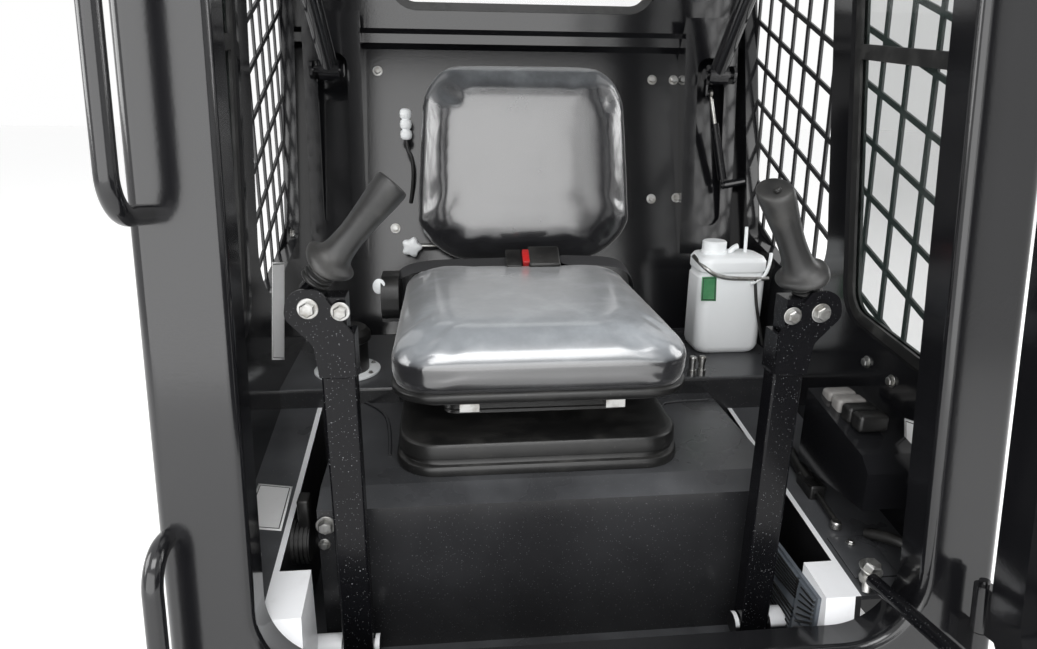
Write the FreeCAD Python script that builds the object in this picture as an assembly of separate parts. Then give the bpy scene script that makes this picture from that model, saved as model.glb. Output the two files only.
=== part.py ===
import FreeCAD, Part
import math
import os
from FreeCAD import Placement, Rotation, Vector

# Operator's cab of a skid steer loader, standing by itself. Millimetres.
# X runs to the right as seen from the open front, Y into the cab, Z up, z = 0 under the floor pan.

# Shell
CAB_HALF = 495.0          # centre line to the outer face of a side wall
WALL = 25.0               # side wall, two skins
INNER = CAB_HALF - WALL   # inner face of a side wall
SHEET = 6.0               # folded plate of shelves and floor
FRONT_Y = -442.0          # front face of the posts, carried down to the floor
FRONT_LEAN = 8.0          # degrees that the posts lean back
POST_WIDTH = 95.0
POST_DEPTH = 50.0
POST_ROUND = 16.0
RIM_ROUND = 12.0          # round front edge of the doorway
SILL_TOP = 130.0          # along the post, from the floor
SILL_CORNER = 90.0        # round lower corners of the doorway
HEADER_BOTTOM = 1372.0
HEADER_CORNER = 80.0
ROOF_UNDER = 1450.0
ROOF_THICK = 50.0
ROOF_LIP = 12.0           # roof overhang past the walls
ROOF_CORNER = 45.0
ROOF_ROUND = 20.0
PANEL_MARGIN = 110.0      # raised middle of the roof
PANEL_RISE = 12.0
DECK = 250.0              # top of the seat box
REAR_Y = 380.0            # inner face of the rear wall at the deck
REAR_KNEE_Y = 545.0       # inner face where the lower panel ends
REAR_KNEE_Z = 860.0
REAR_RIB = 14.0           # height of the cross rib
REAR_RIB_Z = 902.0        # top of the cross rib
REAR_RIB_BEVEL = 12.0
REAR_TOP_Y = 552.0
REAR_SHEET = 8.0
SEAT_JOINT = 0.2          # gap of plates that end at the leaning front frame

# Windows: corners as (y, z, corner radius), front bottom first, then to the rear and up
FRONT_WINDOW = ((-291, 404, 62), (-27, 437, 62), (180, 1385, 62), (-180, 1385, 62))
REAR_WINDOW = ((24, 425, 80), (378, 496, 55), (522, 985, 55), (522, 1385, 62), (236, 1385, 62))
BACK_WINDOW = ((-285, 938, 60), (285, 938, 60), (285, 1388, 60), (-285, 1388, 60))
GLASS = 5.0
GLASS_INSET = 12.0        # from the inner face of the wall
SEAL_WIDTH = 16.0
SEAL_DEPTH = 14.0
REAR_SEAL_PROUD = 3.0     # rear seal stands out of the wall into the cab
REAR_SEAL_DEPTH = 17.0
REAR_GLASS_SET = 8.0      # pane behind the front of its seal
WINDOW_BAR = 845.0        # height of the meeting rail at its rear end
WINDOW_BAR_SLOPE = 0.10
WINDOW_BAR_HEIGHT = 22.0
WINDOW_BAR_ENDS = (-320.0, 62.0, 120.0)  # front, where its height is taken, rear

# Guard mesh outside the side windows
MESH_THICK = 4.0
MESH_STRAND = 9.0
MESH_BORDER = 12.0
MESH_LAP = 14.0           # mesh frame over the wall
FRONT_MESH = (64.0, 75.0, 0.09, 0.39)    # pitch along y, pitch along z, lean, slope
REAR_MESH = (56.0, 73.0, 0.05, 0.42)

# Footwell, standing a little left of the middle between its two white side plates
WELL_X = -28.0
SHELF_WIDTH = 99.0        # mean width of the shelves beside the footwell
WELL_HALF = INNER - SHELF_WIDTH
WELL_SHEET = 8.0
SHELF_LINES = {"left": (215.0, 0.150), "right": (192.0, 0.125)}   # height at SHELF_Y, slope
SHELF_Y = -110.0
SHELF_FLANGE = 60.0
REAR_SHELF_Y = 90.0
REAR_SHELF_TOP = 280.0
SHELF_GAP = 8.0           # round the seat's skirt
NOSE_ROUND = 6.0
BOLT_INSET = 33.0         # chassis bolts from the side plates
BOLT_FRONT_Y = -345.0
BOLT_REAR_Y = 45.0
BOLT_HOLE = 8.5
DUCT_WIDTH = 40.0
DUCT_REAR = {"left": -290.0, "right": -305.0}
VENT_SHEET = 5.0
VENT_PAD = 3.0
VENT_COLUMNS = ((-354.0, -312.0), (-306.0, -240.0))
VENT_ROWS = ((22.0, 84.0), (90.0, 146.0))
BOOT_PLACE = (-196.0, 168.0)             # y, z
BOOT_RINGS = ((31.0, 4.0), (27.0, 2.0))  # radius and width of a ring and of the groove after it
BOOT_COUNT = 4

# Seat box between the side plates, its top folded down along the front
BOX_GAP = 41.0
BOX_FRONT_Y = -232.0
BOX_FOLD_Y = -190.0
BOX_FOLD_DROP = 12.0
BOX_REAR_Y = 226.0

# Seat
SEAT_X = -42.0            # the seat stands left of the middle
BACK_X = -14.0
SKIRT = (214.0, -177.0, 210.0)           # half width, front y, rear y
SKIRT_LOWER = 16.0
SKIRT_UPPER = 24.0
SKIRT_STEP = 3.0
SKIRT_NECK = 8.0
SKIRT_GROOVE = 9.0
SKIRT_CORNER = 62.0
SCISSOR = (144.0, -70.0, 190.0, 44.0)    # lift under the rails: half width, front y, rear y, height
SCISSOR_CORNER = 20.0
RAIL_X = 106.0
RAIL_HALF = 14.0
RAIL_HEIGHT = 12.0
RAIL_FRONT_Y = -160.0
RAIL_REAR_Y = 200.0
RUNNER_GAP = 1.0
RUNNER_PLAY = 0.3
RUNNER_SHEET = 3.0
RUNNER_ROOF = 6.0
RUNNER_SHORT = 60.0       # runner ends this far inside the rail ends
PAN_HEIGHT = 14.0
PAN_INSET = (12.0, 14.0, 8.0, 6.0)       # under the cushion: sides, front, rear sides, rear
PAN_CORNERS = (60.0, 40.0)
CUSHION_HALF = 220.0
CUSHION_TAPER = 6.0       # narrower at the rear
CUSHION_REAR_HALF = CUSHION_HALF - CUSHION_TAPER
CUSHION_FRONT_Y = -186.0
CUSHION_REAR_Y = 268.0
CUSHION_CORNERS = (70.0, 45.0)
CUSHION_THICK = 88.0
CUSHION_ROUND = 28.0
BACK_FOOT = (304.0, 450.0)               # y, z of the front lower edge of the backrest
BACK_LEAN = 9.0
BACK_HEIGHT = 392.0
BACK_THICK = 66.0
BACK_HALF = 228.0
BACK_FOOT_INSET = 42.0
BACK_TOP_INSET = 30.0
BACK_WAIST = 120.0        # height of the widest place
BACK_CORNERS = (55.0, 120.0, 80.0)
BACK_ROUND = 20.0
BACK_BRACKET = 210.0      # height of the brackets behind the backrest
BACK_BRACKET_X = 120.0
BACK_BRACKET_HALF = 25.0
BRACKET_SHEET = 6.0
BELT_Y = 52.0             # belt ahead of the cushion's rear edge
BELT_WIDTH = 48.0
BELT_THICK = 4.0
BELT_DROP = 70.0
LAID = 0.3                # soft pieces lie this far off what carries them
BUCKLE_X = 12.0
BUCKLE_HALF = 30.0
BUCKLE_THICK = 16.0
REEL_HEIGHT = 76.0
REEL_WIDTH = 32.0
REEL_CORNERS = (24.0, 36.0)
REEL_REACH = (40.0, 70.0)  # reel cover before and behind the belt
KNOB_RISE = 20.0
KNOB_RADIUS = 17.0
KNOB_WIDTH = 22.0
KNOB_SHAFT = 5.0

# Drive levers, upright on stub axles in front of the seat box
LEVER_INSET = 93.0        # side plate to the middle of a lever
LEVER_WIDTH = 40.0
LEVER_DEPTH = 30.0
LEVER_WALL = 3.5
LEVER_PIVOT = (-280.0, 52.0)             # y, z
LEVER_FOOT = 14.0         # lower end of the tube
LEVER_HEADS = {"left": 458.0, "right": 445.0}    # lower edge of the head
LEVER_PIN = 10.0
LEVER_BUSH = 14.0
LEVER_FLOAT = 2.0         # side play on the stub axle
AXLE_COLLAR = 20.0
AXLE_HEAD = 16.0
AXLE_HEAD_WIDTH = 6.0
HEAD_SHEET = 5.0
HEAD_SLEEVE = 2.0
# Outline of the head plate: outwards from the tube's middle, up from its lower edge, corner radius
HEAD_PLATE = ((-21, 0, 2), (21, 0, 2), (25, 40, 20), (56, 74, 16), (50, 108, 22), (14, 106, 8),
              (-21, 52, 3))
HEAD_BOSS = (-14.0, 44.0, 66.0, 96.0)    # inner, outer, lower, upper
HEAD_BOSS_DEPTH = 32.0
# Foot and tip of a grip: outwards from the lever's middle, y, z
GRIPS = {"left": ((8.0, -272.0, 586.0), (-76.0, -285.0, 685.0)),
         "right": ((14.0, -272.0, 561.0), (-48.0, -290.0, 679.0))}
GRIP_POST = 10.0
GRIP_POST_REACH = 40.0
GRIP_RADIUS = 17.5
GRIP_FLARE = 6.5
GUARD_RADIUS = 35.0
GUARD_THICK = 11.0
GUARD_EDGE = 4.0
GRIP_SHOULDER = (3.0, 9.0)               # wider than the grip, above the guard

# Seat bar
BAR_PIVOT = (450.0, 815.0)               # y, z
BAR_PIVOT_X = INNER - 72.0
BAR_X = INNER - 54.0
BAR_RADIUS = 17.5
BAR_LEAN = 30.0
BAR_KNEE = 170.0
BAR_REACH = 550.0
BAR_BEND = 85.0
BAR_HUB = 20.0
BAR_HUB_HALF = 20.0
BAR_PIN = 8.0
BAR_SWING = 70.0          # degrees down to its working place
BAR_TAB = 4.0
FIT = 0.05                # radial running fit of pins and rods
BRACKET_X = (INNER - 130.0, INNER - 15.0)
BRACKET_Z = (440.0, 930.0)
BRACKET_Y = (424.0, 500.0)               # front face at its lower and upper end
BRACKET_PLATE = 4.0
BRACKET_WINDOW = (30.0, 500.0, 850.0, 24.0)      # half width, foot, head, corner
EAR_GAP = 32.0            # bar's middle to its ear
EAR_SHEET = 6.0
EAR_RADIUS = 18.0

# Gas strut of the seat bar, on the right side
BAR_STRUT_FOOT = (INNER - 42.0, 432.0, 588.0)
BAR_STRUT_HEAD = (BAR_PIVOT_X - 6.0, 460.0, 778.0)
BAR_STRUT_BARREL = 120.0
BAR_STRUT_RADIUS = 9.0
BAR_STRUT_ROD = 4.0
BAR_STRUT_EYE = 8.0
STRUT_END = 4.0           # barrel starts this far behind its eye
STRUT_FLOOR = 8.0         # closed end of the barrel
STRUT_SPARE = 12.0        # rod's end off the barrel's floor

# Door
DOOR_MARGIN = 70.0        # door's edge inside the cab's side
DOOR_HALF = CAB_HALF - DOOR_MARGIN
DOOR_FOOT = 118.0
DOOR_TOP = 1404.0
DOOR_CORNER = 100.0
DOOR_BACK = 6.0           # gap between posts and door
DOOR_DEPTH = 28.0
DOOR_ROUND = 8.0
DOOR_STILE = 44.0
DOOR_SKIN = 6.0           # pressed panel
DOOR_PANEL_TOP = 560.0
DOOR_RAIL = 60.0          # rail between panel and pane
DOOR_PANE_CORNER = 60.0
DOOR_PANEL_CORNER = 40.0
DOOR_GLASS_SET = 11.0
PANE_GAP = 0.3
HINGE_X = CAB_HALF - 37.0
HINGE_W = -24.0           # hinge line in front of the posts
HINGE_HEIGHTS = (175.0, 1180.0)
HINGE_LENGTH = 90.0
HINGE_LEAF = 30.0         # length of the fixed knuckle
HINGE_GAP = 1.0
HINGE_RADIUS = 11.0
HINGE_PIN = 6.0
HINGE_STRAP = 3.0         # half thickness of the door's strap
HINGE_LAP = 6.0           # strap ends this far from the pane
DOOR_OPEN = 90.0

# Door strut, in the leaning plane of the doorway
STRUT_CAB = (INNER - 104.0, 66.0)        # x, depth behind the posts' front face
STRUT_DOOR = 430.0                       # distance from the hinge line
STRUT_STANDOFF = 90.0
STRUT_LEVEL = 188.0
STRUT_RADIUS = 9.0
STRUT_ROD = 5.0
STRUT_EYE = 9.0
STRUT_BARREL = 300.0
STRUT_ARM = (12.0, 16.0, 10.0)           # half width, lower and upper face under the eye
STRUT_PLATE = (20.0, 30.0)               # half width and half height of the arm's foot plate
STUD = 4.0
STUD_COLLAR = 8.0
COLLAR_GAP = 1.0          # collar to eye
EYE_HALF = 2.5            # half the thickness of a strut's eye
STUD_FIT = 0.09
EYE_GAP = 0.4             # between a boss and the eye on it

# Controls, bottle and rails
CONSOLE_WIDTH = 85.0
CONSOLE_TOP = ((-106.0, 340.0), (-269.0, 309.0))     # y, z of the sloping face's rear and front
CONSOLE_FOOT = 215.0
CONSOLE_NOSE = (-289.0, 290.0, 235.0)    # y, upper and lower z
SWITCH_PITCH = 30.0
SWITCH_FIRST = 24.0
SWITCH_HALF = 12.5
SWITCH_X = (14.0, 62.0)   # from the console's inner face
SWITCH_RISE = (3.0, 14.0)
SWITCH_COUNT = 4
BOTTLE_X = (INNER - 156.0, INNER - 21.0)
BOTTLE_Y = (205.0, 300.0)
BOTTLE_HEIGHT = 200.0
BOTTLE_CORNER = 30.0
BOTTLE_ROUND = 24.0
BOTTLE_NECK = (INNER - 120.0, 250.0, 24.0, 25.0)     # x, y, radius, height over the shoulder
CUP_Y = 175.0             # the cup stands midway between the seat and the left wall
CUP_RADII = (30.0, 34.0)
CUP_HEIGHT = 86.0
CUP_FLANGE = 48.0
THROTTLE = (88.0, 570.0)                 # from the left bracket's inner edge, z
THROTTLE_HALF = (22.0, 24.0)
THROTTLE_REACH = 26.0
THROTTLE_GRIP = 9.0
THROTTLE_ROD = 4.0
THROTTLE_RISE = (80.0, 150.0, 172.0)     # grip's foot, rod's end, grip's tip over the plate
HANDLE_Z = (600.0, 720.0)
HANDLE_HALF = 13.0
HANDLE_BASE = 8.0
HANDLE_REACH = 34.0
HANDLE_GRIP = 6.0
HANDLE_END = 20.0         # handle's foot from the end of its base
HANDLE_BEND = 14.0
WIPER_MOTOR = (40.0, 26.0, DOOR_TOP - 40.0, DOOR_TOP - 4.0)  # half width, depth, foot, head
WIPER_ARM = ((0.0, DOOR_TOP - 26.0), (190.0, DOOR_TOP - 394.0))
WIPER_BLADE = (DOOR_TOP - 624.0, DOOR_TOP - 174.0)
WIPER_HALF = 4.0
RAIL_TUBE = 10.5
RAIL_BEND = 38.0
# Grab rails on the left post: from the cab's side, off the post, lower and upper end
GRAB_RAILS = ((20.0, 76.0, 665.0, 1230.0), (11.0, 46.0, 30.0, 318.0))

SIDES = (("left", -1), ("right", 1))
LEAN = math.radians(FRONT_LEAN)
PARTS = {}


def block(x0, x1, y0, y1, z0, z1):
    return Part.makeBox(x1 - x0, y1 - y0, z1 - z0, Vector(x0, y0, z0))


def rod(start, end, radius):
    start, end = Vector(*start), Vector(*end)
    return Part.makeCylinder(radius, (end - start).Length, start, end - start)


def polygon(points):
    return Part.Face(Part.makePolygon([Vector(*p) for p in points] + [Vector(*points[0])]))


def mirrored(shape):
    return shape.mirror(Vector(0, 0, 0), Vector(1, 0, 0))


def on_side(shape, side):
    return shape if side > 0 else mirrored(shape)


def in_well(shape, side):
    """Drawn on the right of a middle line, then set on its side of the footwell."""
    return on_side(shape, side).translated(Vector(WELL_X, 0, 0))


def joined(shapes):
    whole = shapes[0].fuse(list(shapes[1:]))
    return whole.removeSplitter()


def rounded_path(points, radius, closed=False):
    """Straight runs joined by tangent arcs; radius is one number or one per point."""
    count = len(points)
    radii = radius if isinstance(radius, (list, tuple)) else [radius] * count
    turning = range(count) if closed else range(1, count - 1)
    corners = []
    for index in turning:
        here = points[index]
        back = (points[index - 1] - here).normalize()
        ahead = (points[(index + 1) % count] - here).normalize()
        half = back.getAngle(ahead) / 2
        reach = radii[index] / math.tan(half)
        middle = (back + ahead).normalize() * (radii[index] / math.sin(half) - radii[index])
        corners.append((here + back * reach, here + middle, here + ahead * reach))
    edges = []
    last = corners[-1][2] if closed else points[0]
    for first, middle, end in corners:
        if (first - last).Length > 0.01:
            edges.append(Part.LineSegment(last, first).toShape())
        edges.append(Part.Arc(first, middle, end).toShape())
        last = end
    if not closed:
        edges.append(Part.LineSegment(last, points[-1]).toShape())
    return Part.Wire(edges)


def outline(corners, place):
    """Closed outline with round corners; place turns the two flat values into a point."""
    points = [place(a, b) for a, b, radius in corners]
    return Part.Face(rounded_path(points, [radius for a, b, radius in corners], True))


def inset(corners, distance):
    """The same outline moved inwards by a distance, outwards if it is negative."""
    moved = []
    for index, (a, b, radius) in enumerate(corners):
        before = corners[index - 1]
        after = corners[(index + 1) % len(corners)]
        first = Vector(a - before[0], b - before[1], 0).normalize()
        second = Vector(after[0] - a, after[1] - b, 0).normalize()
        n1 = (-first.y, first.x)
        n2 = (-second.y, second.x)
        share = distance / (1 + n1[0] * n2[0] + n1[1] * n2[1])
        moved.append((a + (n1[0] + n2[0]) * share, b + (n1[1] + n2[1]) * share,
                      max(radius - distance, 1.0)))
    return moved


def pipe(points, bend, radius):
    """Round bar or tube along straight runs and tangent arcs."""
    points = [Vector(*p) for p in points]
    path = rounded_path(points, bend)
    circle = Part.Wire([Part.Circle(points[0], points[1] - points[0], radius).toShape()])
    return path.makePipeShell([circle], True, False)


def leaned(shape):
    """From the upright drawing of the doorway (x, depth, height) to its leaning place."""
    turn = Placement(Vector(0, FRONT_Y, 0), Rotation(Vector(1, 0, 0), -FRONT_LEAN))
    return shape.transformed(turn.toMatrix())


def leaned_point(x, depth, height):
    return (x, FRONT_Y + depth * math.cos(LEAN) + height * math.sin(LEAN),
            height * math.cos(LEAN) - depth * math.sin(LEAN))


def rear_y(z):
    """Inner face of the rear wall's lower panel at a height."""
    share = (z - DECK) / (REAR_KNEE_Z - DECK)
    return REAR_Y + max(share, 0.0) * (REAR_KNEE_Y - REAR_Y)


def post_rear_y(z):
    return FRONT_Y + POST_DEPTH / math.cos(LEAN) + z * math.tan(LEAN)


def shelf_z(name, y):
    height, slope = SHELF_LINES[name]
    return height + slope * (y - SHELF_Y)


def shelf_front(name):
    """Place along y where a shelf's surface meets the leaning front frame."""
    height, slope = SHELF_LINES[name]
    start = post_rear_y(0) + SEAT_JOINT
    return (start + (height - slope * SHELF_Y) * math.tan(LEAN)) / (1 - slope * math.tan(LEAN))


# Front frame: two posts, a sill with the round corners of the doorway, and a header
def front_frame():
    half = CAB_HALF - POST_WIDTH
    foot, head = SILL_TOP + SILL_CORNER, HEADER_BOTTOM - HEADER_CORNER
    top = (ROOF_UNDER + POST_DEPTH) / math.cos(LEAN)
    doorway = [(-half, SILL_TOP, SILL_CORNER), (half, SILL_TOP, SILL_CORNER),
               (half, HEADER_BOTTOM, HEADER_CORNER), (-half, HEADER_BOTTOM, HEADER_CORNER)]
    below = POST_DEPTH
    frame = block(-CAB_HALF, CAB_HALF, 0, POST_DEPTH, -below, top)
    frame = frame.makeFillet(POST_ROUND, [e for e in frame.Edges if e.Length > top])
    hole = outline(doorway, lambda a, b: Vector(a, -1, b)).extrude(Vector(0, POST_DEPTH + 2, 0))
    frame = frame.cut(hole)
    rim = [e for e in frame.Edges
           if abs(e.BoundBox.YMax - e.BoundBox.YMin) < 0.1 and e.BoundBox.YMin < 0.1
           and e.BoundBox.XMin > -half - 1 and e.BoundBox.XMax < half + 1
           and e.BoundBox.ZMin > SILL_TOP - 1 and e.BoundBox.ZMax < HEADER_BOTTOM + 1]
    frame = frame.makeFillet(RIM_ROUND, rim)
    wide = CAB_HALF + 1
    level = block(-wide, wide, FRONT_Y - POST_DEPTH, REAR_Y, 0, ROOF_UNDER)

    def cut_out(z0, z1, x0, x1):
        piece = frame.common(block(x0, x1, -1, POST_DEPTH + 1, z0, z1))
        return leaned(piece).common(level)

    PARTS["front_sill"] = cut_out(-below, foot, -wide, wide)
    PARTS["front_header"] = cut_out(head, top, -wide, wide)
    PARTS["front_post_left"] = cut_out(foot, head, -wide, 0)
    PARTS["front_post_right"] = cut_out(foot, head, 0, wide)


# Side walls with their two windows, glass, seals and guard mesh
def side_wall(name, side):
    profile = [(INNER, post_rear_y(0), 0), (INNER, REAR_Y + REAR_SHEET, 0),
               (INNER, REAR_Y + REAR_SHEET, DECK), (INNER, REAR_KNEE_Y + REAR_SHEET, REAR_KNEE_Z),
               (INNER, REAR_TOP_Y + REAR_SHEET, REAR_RIB_Z),
               (INNER, REAR_TOP_Y + REAR_SHEET, ROOF_UNDER),
               (INNER, post_rear_y(ROOF_UNDER), ROOF_UNDER)]
    wall = polygon(profile).extrude(Vector(WALL, 0, 0))
    for corners in (FRONT_WINDOW, REAR_WINDOW):
        hole = outline(corners, lambda a, b: Vector(INNER - 1, a, b)).extrude(Vector(WALL + 2, 0, 0))
        wall = wall.cut(hole)
    if side > 0:
        foot, axis = Vector(*BAR_STRUT_FOOT), bar_strut_axis()
        into_wall = foot + axis * ((INNER + 1 - foot.x) / axis.x)
        stud = rod(foot - axis * (EYE_HALF + COLLAR_GAP), into_wall, STUD)
        collar = rod(foot + axis * (EYE_HALF + COLLAR_GAP), into_wall, STUD_COLLAR)
        wall = joined([wall, stud, collar])
    PARTS["side_wall_" + name] = on_side(wall, side)


def window_bar(corners, x, depth):
    """Sloping meeting rail, cut to the window."""
    half = WINDOW_BAR_HEIGHT / 2
    y0, y_level, y1 = WINDOW_BAR_ENDS
    level = [WINDOW_BAR + (y - y_level) * WINDOW_BAR_SLOPE for y in (y0, y1)]
    bar = polygon([(x, y0, level[0] - half), (x, y1, level[1] - half),
                   (x, y1, level[1] + half), (x, y0, level[0] + half)])
    inside = outline(corners, lambda a, b: Vector(x, a, b))
    return bar.common(inside).extrude(Vector(depth, 0, 0))


def side_window(name, side):
    glass_x = INNER + GLASS_INSET
    x = glass_x - (SEAL_DEPTH - GLASS) / 2
    ring = outline(FRONT_WINDOW, lambda a, b: Vector(x, a, b))
    ring = ring.cut(outline(inset(FRONT_WINDOW, SEAL_WIDTH), lambda a, b: Vector(x, a, b)))
    ring = ring.extrude(Vector(SEAL_DEPTH, 0, 0))
    pane = outline(inset(FRONT_WINDOW, SEAL_WIDTH / 2), lambda a, b: Vector(glass_x, a, b))
    pane = pane.extrude(Vector(GLASS, 0, 0))
    bar = window_bar(inset(FRONT_WINDOW, SEAL_WIDTH), x, SEAL_DEPTH)
    seal = ring.fuse(bar).cut(pane)
    PARTS["side_seal_" + name] = on_side(seal.removeSplitter(), side)
    PARTS["side_glass_" + name] = on_side(pane, side)


def lattice(corners, pattern, x):
    """Flat guard: a border and two families of strands, left between cut-out cells."""
    pitch, rise, lean, slope = pattern
    inner = inset(corners, MESH_BORDER - MESH_LAP)
    low_y, high_y = min(c[0] for c in corners), max(c[0] for c in corners)
    low_z, high_z = min(c[1] for c in corners), max(c[1] for c in corners)
    half = MESH_STRAND / 2

    def crossing(i, j, dy, dz):
        across, up = i * pitch + dy, low_z + j * rise + dz
        y = (across + lean * up) / (1 - lean * slope)
        return (x, y, up + slope * y)

    first = int((low_y - lean * high_z) / pitch) - 1
    last = int((high_y - lean * low_z) / pitch) + 1
    below = int(-slope * high_y / rise) - 2
    above = int((high_z - low_z - slope * low_y) / rise) + 1
    cells = []
    for i in range(first, last + 1):
        for j in range(below, above + 1):
            cell = polygon([crossing(i, j, half, half), crossing(i + 1, j, -half, half),
                            crossing(i + 1, j + 1, -half, -half), crossing(i, j + 1, half, -half)])
            cells.append(cell)
    window = outline(inner, lambda a, b: Vector(x, a, b))
    open_cells = [f for f in window.common(Part.makeCompound(cells)).Faces if f.Area > 150]
    plate = outline(inset(corners, -MESH_LAP), lambda a, b: Vector(x, a, b))
    return plate.cut(Part.makeCompound(open_cells)).extrude(Vector(MESH_THICK, 0, 0))


def side_mesh(name, side):
    front = lattice(FRONT_WINDOW, FRONT_MESH, CAB_HALF)
    rear = lattice(REAR_WINDOW, REAR_MESH, CAB_HALF)
    PARTS["side_mesh_" + name] = on_side(front.fuse(rear), side)


# Rear wall with a leaning lower panel, a cross rib and the back window
def rear_wall():
    face = [(REAR_Y, 0), (REAR_Y, DECK), (REAR_KNEE_Y, REAR_KNEE_Z),
            (REAR_KNEE_Y - REAR_RIB, REAR_KNEE_Z + REAR_RIB_BEVEL),
            (REAR_KNEE_Y - REAR_RIB, REAR_RIB_Z - REAR_RIB_BEVEL),
            (REAR_TOP_Y, REAR_RIB_Z), (REAR_TOP_Y, ROOF_UNDER)]
    back = [(y + REAR_SHEET, z) for y, z in reversed(face)]
    wall = polygon([(-INNER, y, z) for y, z in face + back]).extrude(Vector(2 * INNER, 0, 0))
    hole = outline(BACK_WINDOW, lambda a, b: Vector(a, REAR_TOP_Y - 1, b))
    wall = wall.cut(hole.extrude(Vector(0, REAR_SHEET + 2, 0)))
    PARTS["rear_wall"] = wall
    y = REAR_TOP_Y - REAR_SEAL_PROUD
    ring = outline(BACK_WINDOW, lambda a, b: Vector(a, y, b))
    ring = ring.cut(outline(inset(BACK_WINDOW, SEAL_WIDTH), lambda a, b: Vector(a, y, b)))
    pane = outline(inset(BACK_WINDOW, SEAL_WIDTH / 2), lambda a, b: Vector(a, y + REAR_GLASS_SET, b))
    pane = pane.extrude(Vector(0, GLASS, 0))
    PARTS["rear_glass"] = pane
    PARTS["rear_seal"] = ring.extrude(Vector(0, REAR_SEAL_DEPTH, 0)).cut(pane)


# Roof: a double skin with round edges and a raised centre panel
def roof():
    y0 = post_rear_y(ROOF_UNDER) - POST_DEPTH / math.cos(LEAN) - ROOF_LIP
    y1 = REAR_TOP_Y + REAR_SHEET + ROOF_LIP
    wide = CAB_HALF + ROOF_LIP
    skin = block(-wide, wide, y0, y1, ROOF_UNDER, ROOF_UNDER + ROOF_THICK)
    upright = [e for e in skin.Edges if e.BoundBox.ZLength > ROOF_THICK / 2]
    skin = skin.makeFillet(ROOF_CORNER, upright)
    rim = [e for e in skin.Edges if e.BoundBox.ZMin > ROOF_UNDER + ROOF_THICK - 1]
    skin = skin.makeFillet(ROOF_ROUND, rim)
    whole = [(-wide, y0, PANEL_MARGIN), (wide, y0, PANEL_MARGIN), (wide, y1, PANEL_MARGIN),
             (-wide, y1, PANEL_MARGIN)]
    panel = plan([(x, y, ROOF_CORNER) for x, y, radius in inset(whole, PANEL_MARGIN)],
                 ROOF_UNDER + ROOF_THICK / 2).extrude(Vector(0, 0, ROOF_THICK / 2 + PANEL_RISE))
    PARTS["roof"] = joined([skin, panel])


# Floor, footwell and shelves
def side_profile(x, low, high, rear):
    """Upright plate from the leaning front frame to a rear edge, seen from the side."""
    return polygon([(x, post_rear_y(low) + SEAT_JOINT, low),
                    (x, post_rear_y(high[0]) + SEAT_JOINT, high[0]), (x, rear, high[1]), (x, rear, low)])


def floor_pan():
    y0 = post_rear_y(SHEET) + SEAT_JOINT
    floor = block(WELL_X - WELL_HALF, WELL_X + WELL_HALF, y0, REAR_SHELF_Y, 0, SHEET)
    reach = WELL_HALF - BOLT_INSET
    holes = [rod((x, y, -1), (x, y, SHEET + 1), BOLT_HOLE)
             for x in (WELL_X - reach, WELL_X + reach) for y in (BOLT_FRONT_Y, BOLT_REAR_Y)]
    PARTS["floor_pan"] = floor.cut(Part.makeCompound(holes))


def rear_shelf():
    """Folded shelf behind and beside the seat, cut out for the seat box and the seat's skirt."""
    box = WELL_HALF - BOX_GAP
    x0, x1 = WELL_X - box, WELL_X + box
    shelf = block(-INNER, INNER, REAR_SHELF_Y, REAR_Y, 0, REAR_SHELF_TOP)
    nose = [e for e in shelf.Edges if abs(e.BoundBox.YMax - REAR_SHELF_Y) < 0.01
            and abs(e.BoundBox.ZMin - REAR_SHELF_TOP) < 0.01]
    shelf = shelf.makeFillet(NOSE_ROUND, nose)

    def seat_well(gap):
        corners = inset(seat_plan(*SKIRT, SKIRT_CORNER), -gap)
        return plan(corners, DECK).extrude(Vector(0, 0, REAR_SHELF_TOP + 1 - DECK))

    shelf = shelf.cut(block(x0, x1, 0, BOX_REAR_Y, -1, DECK)).cut(seat_well(SHELF_GAP))
    hollow = block(-INNER + SHEET, INNER - SHEET, REAR_SHELF_Y + SHEET, REAR_Y + 1, -1,
                   REAR_SHELF_TOP - SHEET)
    hollow = hollow.cut(block(x0 - SHEET, x1 + SHEET, 0, BOX_REAR_Y + SHEET, -2, DECK))
    PARTS["rear_shelf"] = shelf.cut(hollow.cut(seat_well(SHELF_GAP + SHEET)))


def axle_bore():
    """Room for a lever's stub axle through what stands beside its plate."""
    return rod((WELL_HALF + 1, *LEVER_PIVOT), (WELL_HALF - LEVER_INSET, *LEVER_PIVOT), AXLE_COLLAR + LAID)


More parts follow.
